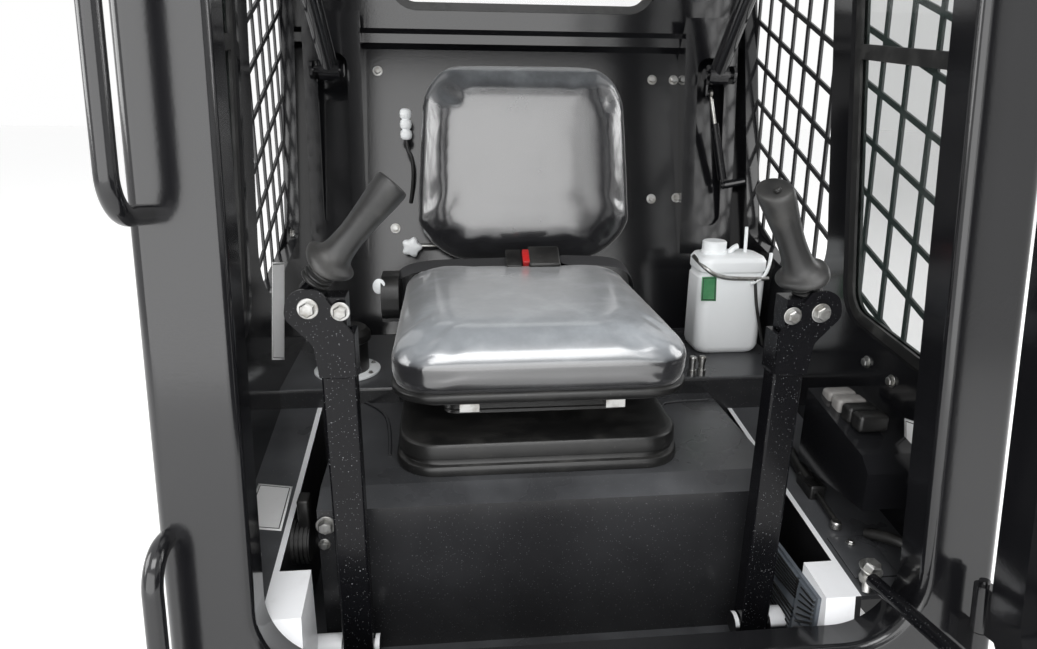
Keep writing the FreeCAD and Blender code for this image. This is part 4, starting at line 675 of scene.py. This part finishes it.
# Grips: moulded dark rubber on the lever's post, with a winged collar at the foot, a waist and a
# slanted head; a ribbed rubber gaiter closes the gap to the lever.
def grip_look(place):
    worn = place.noise(24.0, 4.0, 0.6).between(0.45, 0.75)
    return {"Base Color": worn.blend((0.020, 0.020, 0.020, 1), (0.045, 0.044, 0.042, 1)),
            "Roughness": 0.38 + worn * 0.12,
            "Normal": (place.noise(1300.0, 2.0) + place.noise(300.0, 2.0)).bump(0.18, 0.0004)}


grip_rubber = finish("grip_rubber", grip_look)
grip_rings = ((0.0, 0.029, 0.026), (0.002, 0.034, 0.030), (0.006, 0.0350, 0.0315),
              (0.010, 0.0340, 0.030), (0.013, 0.0270, 0.0240), (0.019, 0.0215, 0.0190),
              (0.030, 0.0188, 0.0170), (0.048, 0.0172, 0.0158), (0.066, 0.0178, 0.0164),
              (0.084, 0.0196, 0.0178), (0.100, 0.0218, 0.0192), (0.112, 0.0234, 0.0202),
              (0.1200, 0.0236, 0.0204), (0.1250, 0.0225, 0.0195), (0.1268, 0.0190, 0.0165))
drawn_length, collar_top, collar_radius = 0.1304, 0.0115, 0.035
wing_spread, wing_droop = 0.10, 0.003
head_foot, head_height, head_slant = 0.100, 0.027, 0.28
button_rings = ((-0.002, 0.0042), (0.0006, 0.0042), (0.0014, 0.0034), (0.0010, 0.002))
button_out = Vector((0, -0.010, 0))
rib_count, rib_pitch, gaiter_drop = 4, 0.0065, 0.026
for side, foot, tip in (("left", (-0.314, -0.272, 0.586), (-0.230, -0.285, 0.685)),
                        ("right", (0.264, -0.272, 0.561), (0.202, -0.290, 0.679))):
    foot, tip = Vector(foot), Vector(tip)
    length = (tip - foot).length
    way = (tip - foot).normalized()
    scale = length / drawn_length
    grip = turned("grip_" + side, [(h * scale, a, b) for h, a, b in grip_rings], sides=24)
    # The collar's foot spreads into two wings that droop, and the head slants.
    for point in grip.data.vertices:
        x, y, z = point.co
        if z < collar_top:
            wing = math.cos(2 * math.atan2(y, x))
            point.co.x *= 1 + wing_spread * wing
            point.co.z -= wing_droop * (math.hypot(x, y) / collar_radius) ** 2 * wing
        point.co.z += max(0.0, z - head_foot) / head_height * (-x) * head_slant
    modified(grip, "SUBSURF", levels=2, render_levels=2)
    aim = (tip - foot).to_track_quat("Z", "Y").to_matrix().to_4x4()
    grip.data.transform(Matrix.Translation(foot) @ aim)
    dressed(grip, grip_rubber, 60)
    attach(grip, "lever_" + side)
    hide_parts("lever_grip_" + side)
    button = turned("grip_button_" + side, button_rings, foot=foot + way * (length - 0.0045) + button_out,
                    tip=foot + way * length + button_out, sides=20)
    dressed(button, moulded_black)
    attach(button, "lever_" + side)
    ribs = []
    for count in range(rib_count):
        z = -gaiter_drop + rib_pitch * count
        ribs += [(z, 0.0150), (z + 0.002, 0.0180), (z + 0.0045, 0.0180)]
    gaiter = turned("grip_gaiter_" + side, ribs, foot=foot, tip=tip, sides=24)
    softened(gaiter, 0.0008, 2)
    dressed(gaiter, window_rubber)
    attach(gaiter, "lever_" + side)


# Belt: two-inch black webbing laid over the cushion's rear edge, a buckle with a red press button
# and a latch plate, and the wound-up end under a moulded cover.
def webbing_look(place):
    across = place.node("TexWave", {"wave_type": "BANDS", "bands_direction": "Y"},
                        {"Vector": place, "Scale": 240.0, "Distortion": 0.4})
    along = place.node("TexWave", {"wave_type": "BANDS", "bands_direction": "DIAGONAL"},
                       {"Vector": place, "Scale": 170.0, "Distortion": 0.6})
    weave = across * along
    return {"Base Color": weave.blend((0.022, 0.022, 0.024, 1), (0.055, 0.055, 0.058, 1)),
            "Roughness": 0.62 + weave * 0.15, "Normal": weave.bump(0.5, 0.0008)}


webbing = finish("webbing", webbing_look)
belt_low, belt_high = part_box("seat_belt")
buckle_low, buckle_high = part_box("belt_buckle")
belt_width = belt_high.y - belt_low.y
belt_thick, belt_tilt = 0.0026, 0.010


def strap(name, line, width, front_y):
    """Flat webbing along points given as (x, z), its width running back from front_y."""
    plate = started(name, "plane", size=1, location=(0, 0, 0))
    pick(plate, "VERT", lambda place, way: place.x > 0)
    bpy.ops.mesh.delete(type="VERT")
    done()
    low, high = sorted(plate.data.vertices, key=lambda point: point.co.y)
    low.co, high.co = (line[0][0], front_y, line[0][1]), (line[0][0], front_y + width, line[0][1])
    for (x0, z0), (x1, z1) in zip(line, line[1:]):
        pick(plate, "VERT", lambda place, way: abs(place.x - x0) < 1e-5 and abs(place.z - z0) < 1e-5)
        bpy.ops.mesh.extrude_region_move(TRANSFORM_OT_translate={"value": (x1 - x0, 0, z1 - z0)})
        done()
    modified(plate, "SOLIDIFY", thickness=belt_thick, offset=1)
    return plate


lie = cushion_high.z - 0.001
left_line = [(buckle_low.x - 0.008, lie + 0.005), (-0.05, lie + 0.002), (-0.10, lie + 0.0010),
             (-0.17, lie), (-0.215, lie - 0.002), (-0.245, lie - 0.008), (-0.262, lie - 0.016),
             (-0.274, lie - 0.028)]
right_line = [(buckle_high.x - 0.004, lie + 0.004), (0.06, lie + 0.002), (0.10, lie + 0.0010),
              (0.135, lie - 0.001), (0.158, lie - 0.006), (0.174, lie - 0.018),
              (0.1825, lie - 0.036), (0.1845, lie - 0.066)]
straps = [strap("belt_strap", line, belt_width, belt_low.y) for line in (left_line, right_line)]
belt = joined("belt_webbing", straps)
for point in belt.data.vertices:
    point.co.z += belt_tilt * (point.co.y - belt_low.y) / belt_width
modified(belt, "SUBSURF", levels=2, render_levels=2)
dressed(belt, webbing)
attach(belt, "seat")
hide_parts("seat_belt")

buckle_mid = (buckle_low + buckle_high) / 2 + Vector((-0.010, -0.015, 0.007))
buckle_turn = Matrix.Translation(buckle_mid) @ Matrix.Rotation(math.radians(34), 4, "X")


def block(name, low, high):
    """A box between two corners."""
    low, high = Vector(low), Vector(high)
    return started(name, "cube", size=1, location=(low + high) / 2, scale=high - low)


def buckle_part(name, low, high, edge, material):
    """A block with rounded edges, leaning as the buckle does."""
    part = block(name, low, high)
    softened(part, edge, 3)
    part.data.transform(buckle_turn)
    dressed(part, material)
    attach(part, "seat")
    return part


def red_look(place):
    worn = place.noise(80.0, 3.0).between(0.4, 0.7)
    return {"Base Color": worn.blend((0.55, 0.02, 0.02, 1), (0.40, 0.02, 0.02, 1)),
            "Roughness": 0.3 + worn * 0.1}


button_red = finish("button_red", red_look)
buckle = buckle_part("belt_buckle_shell", (-0.024, -0.025, -0.009), (0.036, 0.025, 0.009), 0.005,
                     moulded_black)
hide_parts("belt_buckle")
buckle_part("belt_button", (-0.035, -0.017, -0.006), (-0.022, 0.017, 0.008), 0.002, button_red)
buckle_part("belt_latch", (-0.066, -0.021, -0.004), (-0.037, 0.021, 0.003), 0.0015, moulded_black)
buckle_part("belt_latch_lip", (-0.063, -0.0245, -0.004), (-0.034, -0.0195, 0.001), 0.001, zinc)
paint(moulded_black, "belt_reel")


# Seat rails, and the gas struts of the seat bar and the door: drawn steel, bolted or pinned on. The
# rails and piston rods are plated, and the barrels have the levers' paint.
paint(zinc, "seat_rails", "bar_strut_rod", "door_strut_rod")
paint(lever_black, "bar_strut_barrel", "door_strut_barrel")


# Seat box and shelves: folded plate, welded and bolted together. The deck plate ends in a weld bead
# along the box's edge, and bolts or a nut show on the box's front, the left shelf and the right duct.
bead_radius, bead_z = 0.0030, 0.2505
for side, route in (("left", ((-0.331, 0.098), (-0.297, 0.070), (-0.273, 0.0), (-0.268, -0.107))),
                    ("right", ((0.290, 0.056), (0.224, 0.054), (0.190, 0.040), (0.184, -0.060)))):
    bead = tube("deck_bead_" + side, [(x, y, bead_z) for x, y in route], bead_radius, deck_black)
    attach(bead, "cab")


def shelf_top(side, y):
    """Height of a side shelf, which leans down to the front."""
    bend_y = -0.110
    bend_height, slope = (0.215, 0.150) if side == "left" else (0.192, 0.125)
    return bend_height + slope * (y - bend_y)


box_front, duct_side, nut_y = -0.232, 0.3435, -0.262
box_bolts = [(Vector((x, box_front, z)), Vector((0, -1, 0)), size)
             for x, z, size in ((-0.347, 0.216, 1.3), (-0.351, 0.186, 0.8))]
fastened("box_front_bolts", "cab", box_bolts)
nut_place = Vector((-0.440, nut_y, shelf_top("left", nut_y)))
fastened("shelf_bolts", "cab", [(nut_place, Vector((0, 0, 1)), 1.2)], nut)
duct_bolts = [(Vector((duct_side, y, z)), Vector((1, 0, 0)), 0.8)
              for y, z in ((-0.195, 0.149), (-0.226, 0.142))]
fastened("duct_bolts", "cab", duct_bolts)


# Printed plates on the walls and the left shelf: thin white plates, stuck on. Each is a blank field
# with a thin dark line round it.
label_line, label_thick = 0.0014, 0.0008


def label_look(place):
    grime = place.noise(30.0, 5.0, 0.65).between(0.5, 0.85)
    return {"Base Color": (grime * 0.25).blend((0.95, 0.95, 0.95, 1), (0.50, 0.48, 0.46, 1)),
            "Roughness": 0.35 + grime * 0.2}


def label(name, corners, field, border=0.003):
    """A plate through four corners, anticlockwise from its front; border lies outside its line."""
    plate = started(name, "plane", size=1, location=(0, 0, 0))
    for point, place in zip(plate.data.vertices, (corners[0], corners[1], corners[3], corners[2])):
        point.co = place
    dressed(plate, field)
    plate.data.materials.append(window_rubber)
    pick(plate, "FACE", lambda middle, way: True)
    for thickness, slot in ((border, 1), (label_line, 0)):
        bpy.ops.mesh.inset(thickness=thickness)
        plate.active_material_index = slot
        bpy.ops.object.material_slot_assign()
    done()
    modified(plate, "SOLIDIFY", thickness=label_thick, offset=1)
    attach(plate, "cab")


label_white = finish("label_white", label_look)
for name, x, places in (
        ("label_right_wall", 0.4698, ((-0.225, 0.341), (-0.254, 0.241), (-0.322, 0.255), (-0.297, 0.357))),
        ("label_left_wall", -0.4698, ((0.129, 0.499), (0.064, 0.347), (0.147, 0.315), (0.219, 0.479)))):
    label(name, [(x, y, z) for y, z in places], label_white)
shelf_places = ((-0.464, -0.112), (-0.466, -0.206), (-0.411, -0.216), (-0.412, -0.123))
label("label_left_shelf", [(x, y, shelf_top("left", y) + 0.0003) for x, y in shelf_places], label_white)


# Washer bottle: milky white moulded tank with a filler cap, held on the rear shelf by a bright
# band. It has its pump's cable, hose, pipe and spout, and a plain green label.
def tank_look(place):
    cloud = place.noise(6.0, 3.0, 0.5)
    return {"Base Color": cloud.between(0.3, 0.8).blend((0.95, 0.97, 0.98, 1), (0.88, 0.91, 0.92, 1)),
            "Roughness": 0.30 + cloud * 0.1, "Normal": place.noise(300.0, 2.0).bump(0.06, 0.0005)}


tank_white = finish("tank_white", tank_look)
tank_half_x, tank_half_y, tank_corner, tank_foot = 0.0530, 0.033, 0.018, 0.280
tank_place = Matrix.Translation((0.3815, 0.2525, 0))
tank_steps = ((0.003, 0.006), (0.006, 0.005), (0.009, 0.003), (0.138, 0.0005), (0.004, -0.003),
              (0.006, 0), (0.004, 0.003), (0.018, 0), (0.008, -0.005), (0.004, -0.014))
neck_foot, neck_tip = (0.350, 0.250, 0.466), (0.350, 0.250, 0.60)
neck_rings = ((0, 0.020), (0.012, 0.020), (0.013, 0.025), (0.018, 0.025), (0.020, 0.0235),
              (0.036, 0.0235), (0.038, 0.021))
tank = round_plan("tank_body", tank_half_x, tank_half_y, tank_corner, tank_foot)
drawn_up(tank, tank_steps)
tank.data.transform(tank_place)
softened(tank, 0.002, 2, 25)
neck = turned("tank_neck", neck_rings, foot=neck_foot, tip=neck_tip, sides=28)
tank = joined("washer_tank", [tank, neck])
dressed(tank, tank_white, 35)
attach(tank, "cab")
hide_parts("washer_bottle")
band_route = ((0.3145, 0.262, 0.470), (0.3150, 0.2060, 0.462), (0.345, 0.2045, 0.441),
              (0.394, 0.2045, 0.436), (0.4485, 0.2070, 0.436))
band = tube("tank_band", band_route, 0.0042, zinc)
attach(band, "cab")
cable_route = ((0.420, 0.2030, 0.436), (0.424, 0.1990, 0.400), (0.430, 0.200, 0.372), (0.452, 0.205, 0.300))
hose_route = ((0.410, 0.200, 0.428), (0.430, 0.204, 0.432), (0.452, 0.215, 0.452), (0.464, 0.24, 0.478))
pipe_route = ((0.414, 0.250, 0.466), (0.414, 0.250, 0.500), (0.412, 0.250, 0.530))
spout_route = ((0.378, 0.250, 0.466), (0.382, 0.250, 0.488), (0.398, 0.250, 0.492))
for name, route, radius, material in (("tank_cable", cable_route, 0.0030, window_rubber),
                                      ("tank_hose", hose_route, 0.0035, tank_white),
                                      ("tank_pipe", pipe_route, 0.0034, tank_white),
                                      ("tank_spout", spout_route, 0.0055, tank_white)):
    pipe = tube(name, route, radius, material)
    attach(pipe, "cab")


def green_look(place):
    fade = place.noise(40.0).between(0.4, 0.7)
    return {"Base Color": fade.blend((0.05, 0.22, 0.09, 1), (0.10, 0.30, 0.14, 1)),
            "Roughness": 0.4 + place.noise(90.0) * 0.1}


tank_front, tank_label_border = 0.2052, 0.002
tank_label_places = ((0.316, 0.394), (0.346, 0.393), (0.343, 0.442), (0.314, 0.442))
label("label_tank", [(x, tank_front, z) for x, z in tank_label_places],
      finish("label_green", green_look), tank_label_border)


# Tag on the belt reel: a small round white plate, moulded in plastic and pressed on the cover's
# outer face, towards the front.
tag_rings = ((0, 0.013), (0.001, 0.0138), (0.004, 0.0138), (0.005, 0.0125))
tag = turned("reel_tag", tag_rings, foot=(-0.298, 0.196, 0.436), tip=(-0.330, 0.150, 0.450), sides=28)
dressed(tag, tank_white, 50)
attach(tag, "seat")


# Star knob of the backrest's lean: a white moulded hand wheel with five lobes, screwed on a plated
# rod that comes out of the seat's side.
lobes, lobe_depth, wheel_swell, hub_height = 5, 0.16, 1.12, 0.002
knob_rings = ((0, 0.009), (0.003, 0.0125), (0.006, 0.0165), (0.014, 0.0170), (0.018, 0.015),
              (0.021, 0.008))
knob_low, knob_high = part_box("recline_knob")
knob = turned("recline_star", knob_rings, sides=40)
for point in knob.data.vertices:
    x, y, z = point.co
    lobe = lobe_depth * math.cos(lobes * math.atan2(y, x)) * (z > hub_height)
    point.co = Vector((x, y, 0)) * (wheel_swell + lobe) + Vector((0, 0, z))
knob_foot = Vector((knob_low.x + 0.018, knob_low.y + 0.022, (knob_low.z + knob_high.z) / 2))
to_front = Vector((0, -1, 0)).to_track_quat("Z", "Y").to_matrix().to_4x4()
knob.data.transform(Matrix.Translation(knob_foot) @ to_front)
rod = turned("recline_rod", ((0, 0.005), (knob_high.x - knob_foot.x, 0.005)), foot=knob_foot,
             tip=knob_foot + Vector((1, 0, 0)), sides=20)
dressed(knob, tank_white)
dressed(rod, zinc)
knob = joined("recline_star", [knob, rod])
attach(knob, "seat")
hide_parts("recline_knob")


# Throttle: a bent black steel rod that comes up in front of the rear wall, with a white hand grip
# that is moulded on it as three beads.
throttle_low, throttle_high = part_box("throttle_lever")
stick_x, stick_y = (throttle_low.x + throttle_high.x) / 2, (throttle_low.y + throttle_high.y) / 2
grip_length, bead_pitch, stick_radius = 0.062, 0.0205, 0.0042
bead_rings = ((0, 0.0075), (0.003, 0.0108), (0.010, 0.0122), (0.017, 0.0108), (0.0200, 0.0075))
beads = []
for count in range(3):
    bead_foot = throttle_high.z - grip_length + bead_pitch * count
    beads += [(bead_foot + height, radius) for height, radius in bead_rings]
beads += [(throttle_high.z, 0.0040)]
grip = turned("throttle_grip", beads, sides=24)
grip.data.transform(Matrix.Translation((stick_x, stick_y, 0)))
softened(grip, 0.0012, 2, 12)
dressed(grip, tank_white, 50)
stick_route = ((stick_x, stick_y, throttle_high.z - 0.060), (stick_x, stick_y, throttle_high.z - 0.080),
               (stick_x + 0.012, stick_y, throttle_high.z - 0.100),
               (stick_x + 0.012, stick_y + 0.006, throttle_high.z - 0.150),
               (stick_x + 0.004, stick_y + 0.014, throttle_low.z + 0.004))
stick = tube("throttle_rod", stick_route, stick_radius, moulded_black)
stick = joined("throttle_stick", [grip, stick])
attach(stick, "cab")
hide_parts("throttle_lever")


# Fluid cup: a dark moulded cup let into the rear shelf, under a pale ring held by six small screws.
# Beside the seat, two plated hose unions stand on the same shelf.
cup_low, cup_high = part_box("fluid_cup")
cup_mid = (cup_low + cup_high) / 2
cup_rings = ((0, 0.040), (0.060, 0.040), (0.064, 0.046), (0.076, 0.046), (0.080, 0.042), (0.086, 0.038))
cup = turned("fluid_cup_body", cup_rings, foot=(cup_mid.x, cup_mid.y, cup_low.z),
             tip=(cup_mid.x, cup_mid.y, cup_high.z), sides=40)
softened(cup, 0.0015, 2)
dressed(cup, moulded_black)
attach(cup, "cab")
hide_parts("fluid_cup")
flange_rings = ((0, 0.0595), (0.001, 0.0605), (0.004, 0.0605), (0.005, 0.0590))
flange = turned("fluid_cup_ring", flange_rings, foot=(cup_mid.x, cup_mid.y, cup_low.z + 0.0005),
                tip=(cup_mid.x, cup_mid.y, 1), sides=48)
dressed(flange, tank_white)
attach(flange, "cab")
screw_circle, screw_size = 0.052, 0.45
cup_screws = []
for count in range(6):
    turn = math.radians(60 * count + 30)
    place = Vector((cup_mid.x + screw_circle * math.cos(turn), cup_mid.y + screw_circle * math.sin(turn),
                    cup_low.z + 0.005))
    cup_screws.append((place, Vector((0, 0, 1)), screw_size))
fastened("fluid_cup_screws", "cab", cup_screws)
union_y, union_foot = 0.108, 0.280
union_rings = ((0, 0.0080), (0.010, 0.0080), (0.0105, 0.0060), (0.026, 0.0060), (0.0265, 0.0075),
               (0.034, 0.0075), (0.036, 0.0055))
for count, x in enumerate((0.274, 0.292)):
    union = turned("shelf_union_%d" % count, union_rings, foot=(x, union_y, union_foot),
                   tip=(x, union_y, 0.32), sides=12)
    dressed(union, zinc, 30)
    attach(union, "cab")


# Footwell vents: a grey moulded panel with four fields, set beside the right duct. The three fields
# that show have seven dark louvres each.
def vent_look(place):
    dust = place.noise(20.0, 4.0).between(0.4, 0.8)
    return {"Base Color": (dust * 0.3).blend((0.10, 0.115, 0.135, 1), (0.30, 0.30, 0.30, 1)),
            "Roughness": 0.4 + dust * 0.2, "Normal": place.noise(600.0, 2.0).bump(0.15, 0.0004)}


paint(finish("vent_grey", vent_look), "footwell_vents")
louvres, louvre_radius, louvre_x, louvre_bow = 7, 0.0017, 0.2952, 0.0004
vent_fields = (((-0.251, 0.146), (-0.315, 0.146), (-0.309, 0.112), (-0.245, 0.104)),
               ((-0.243, 0.096), (-0.309, 0.098), (-0.303, 0.046), (-0.238, 0.050)),
               ((-0.322, 0.146), (-0.356, 0.146), (-0.356, 0.100), (-0.318, 0.066)))
slats = []
for field in vent_fields:
    for count in range(louvres):
        share = (count + 0.5) / louvres
        start, end = ([a + (b - a) * share for a, b in zip(*pair)] for pair in
                      ((field[0], field[3]), (field[1], field[2])))
        middle = (louvre_x - louvre_bow, (start[0] + end[0]) / 2, (start[1] + end[1]) / 2)
        slats.append(tube("vent_slat", [(louvre_x, *start), middle, (louvre_x, *end)], louvre_radius,
                          moulded_black))
slats = joined("vent_louvres", slats)
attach(slats, "cab")


# Right shelf: the black control cylinder with its clip and rod eye, a hose bundle that comes up
# beside it, the ball joint on its stand-off, and a small access plate.
cylinder_route = ((0.398, 0.050, 0.222), (0.392, -0.060, 0.208), (0.386, -0.145, 0.198))
rod_route = ((0.386, -0.145, 0.198), (0.384, -0.190, 0.192), (0.382, -0.238, 0.186))
bundle_route = ((0.418, -0.262, 0.178), (0.432, -0.290, 0.190), (0.446, -0.318, 0.192),
                (0.456, -0.340, 0.184), (0.459, -0.355, 0.174))
ball_rod_route = ((0.361, -0.362, 0.160), (0.363, -0.357, 0.172), (0.369, -0.350, 0.184))
for name, route, radius, material in (("control_cylinder", cylinder_route, 0.0095, moulded_black),
                                      ("control_rod", rod_route, 0.0042, moulded_black),
                                      ("hose_bundle", bundle_route, 0.0085, moulded_black),
                                      ("ball_rod", ball_rod_route, 0.0060, zinc)):
    rod = tube(name, route, radius, material)
    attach(rod, "cab")
clip = block("control_clip", (0.373, -0.178, 0.178), (0.399, -0.130, 0.206))
softened(clip, 0.004, 3)
pick(clip, "FACE", lambda middle, way: way.z > 0.9)
bpy.ops.mesh.inset(thickness=0.004)
bpy.ops.transform.translate(value=(0, 0, -0.003))
done()
dressed(clip, moulded_black)
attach(clip, "cab")
eye_rings = ((0, 0.0060), (0.002, 0.0080), (0.010, 0.0080), (0.012, 0.0060))
ball_rings = ((0, 0.006), (0.003, 0.0095), (0.009, 0.011), (0.015, 0.0095), (0.018, 0.006))
eye_joint = turned("control_eye", eye_rings, foot=(0.381, -0.243, 0.176), tip=(0.381, -0.243, 0.30),
                   sides=24)
ball = turned("ball_joint", ball_rings, foot=(0.366, -0.352, 0.166), tip=(0.368, -0.356, 0.30), sides=24)
joints = dressed(joined("control_joints", [eye_joint, ball]), zinc, 35)
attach(joints, "cab")
fastened("ball_joint_bolt", "cab", [(Vector((0.370, -0.350, 0.186)), Vector((0.15, -0.25, 1)), 1.45)])
plate = block("access_plate", (0.358, -0.340, -0.0010), (0.420, -0.262, 0.0022))
softened(plate, 0.0014, 2)
for point in plate.data.vertices:
    point.co.z += shelf_top("right", point.co.y)
dressed(plate, deck_black)
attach(plate, "cab")
plate_screw_y = -0.276
plate_screw = Vector((0.386, plate_screw_y, shelf_top("right", plate_screw_y) + 0.002))
fastened("access_screws", "cab", [(plate_screw, Vector((0, 0, 1)), 0.6)])


# Left footwell: the steel clevis of the lever's linkage, painted black, which stands over the
# bellows boot and takes the linkage's pin.
clevis = block("linkage_clevis", (-0.390, -0.206, 0.194), (-0.374, -0.180, 0.238))
softened(clevis, 0.003, 3)
dressed(clevis, moulded_black)
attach(clevis, "cab")


# Rocker switches: four rounded plastic keys in a row on the console, pressed into its top, the two
# rear ones pale and the two front ones black.
def key_look(place):
    worn = place.noise(60.0, 3.0).between(0.4, 0.8)
    return {"Base Color": worn.blend((0.30, 0.29, 0.28, 1), (0.22, 0.21, 0.20, 1)),
            "Roughness": 0.38 + worn * 0.1}


key_grey = finish("key_grey", key_look)
key_low, key_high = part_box("rocker_switches")
key_count, key_half, key_edge = 4, 0.0125, 0.0060
keys = []
for count in range(key_count):
    middle = key_low.y + (key_high.y - key_low.y) * ((count + 0.5) / key_count)
    key = block("rocker_key", (key_low.x + 0.001, middle - key_half, key_low.z),
                (key_high.x - 0.002, middle + key_half, key_high.z - 0.002))
    softened(key, key_edge, 4)
    keys.append(dressed(key, key_grey if count > 1 else moulded_black, 60))
keys = joined("rocker_keys", keys)
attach(keys, "cab")
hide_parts("rocker_switches")


# Door handle and wiper: small pieces of black plastic and black painted steel, screwed to the
# door. They keep the shape of their nodes.
paint(moulded_black, "door_handle", "door_wiper")

# The drawings that the bolts and nuts were copied from aren't part of the cab.
for master in (bolt, nut):
    bpy.data.objects.remove(master)
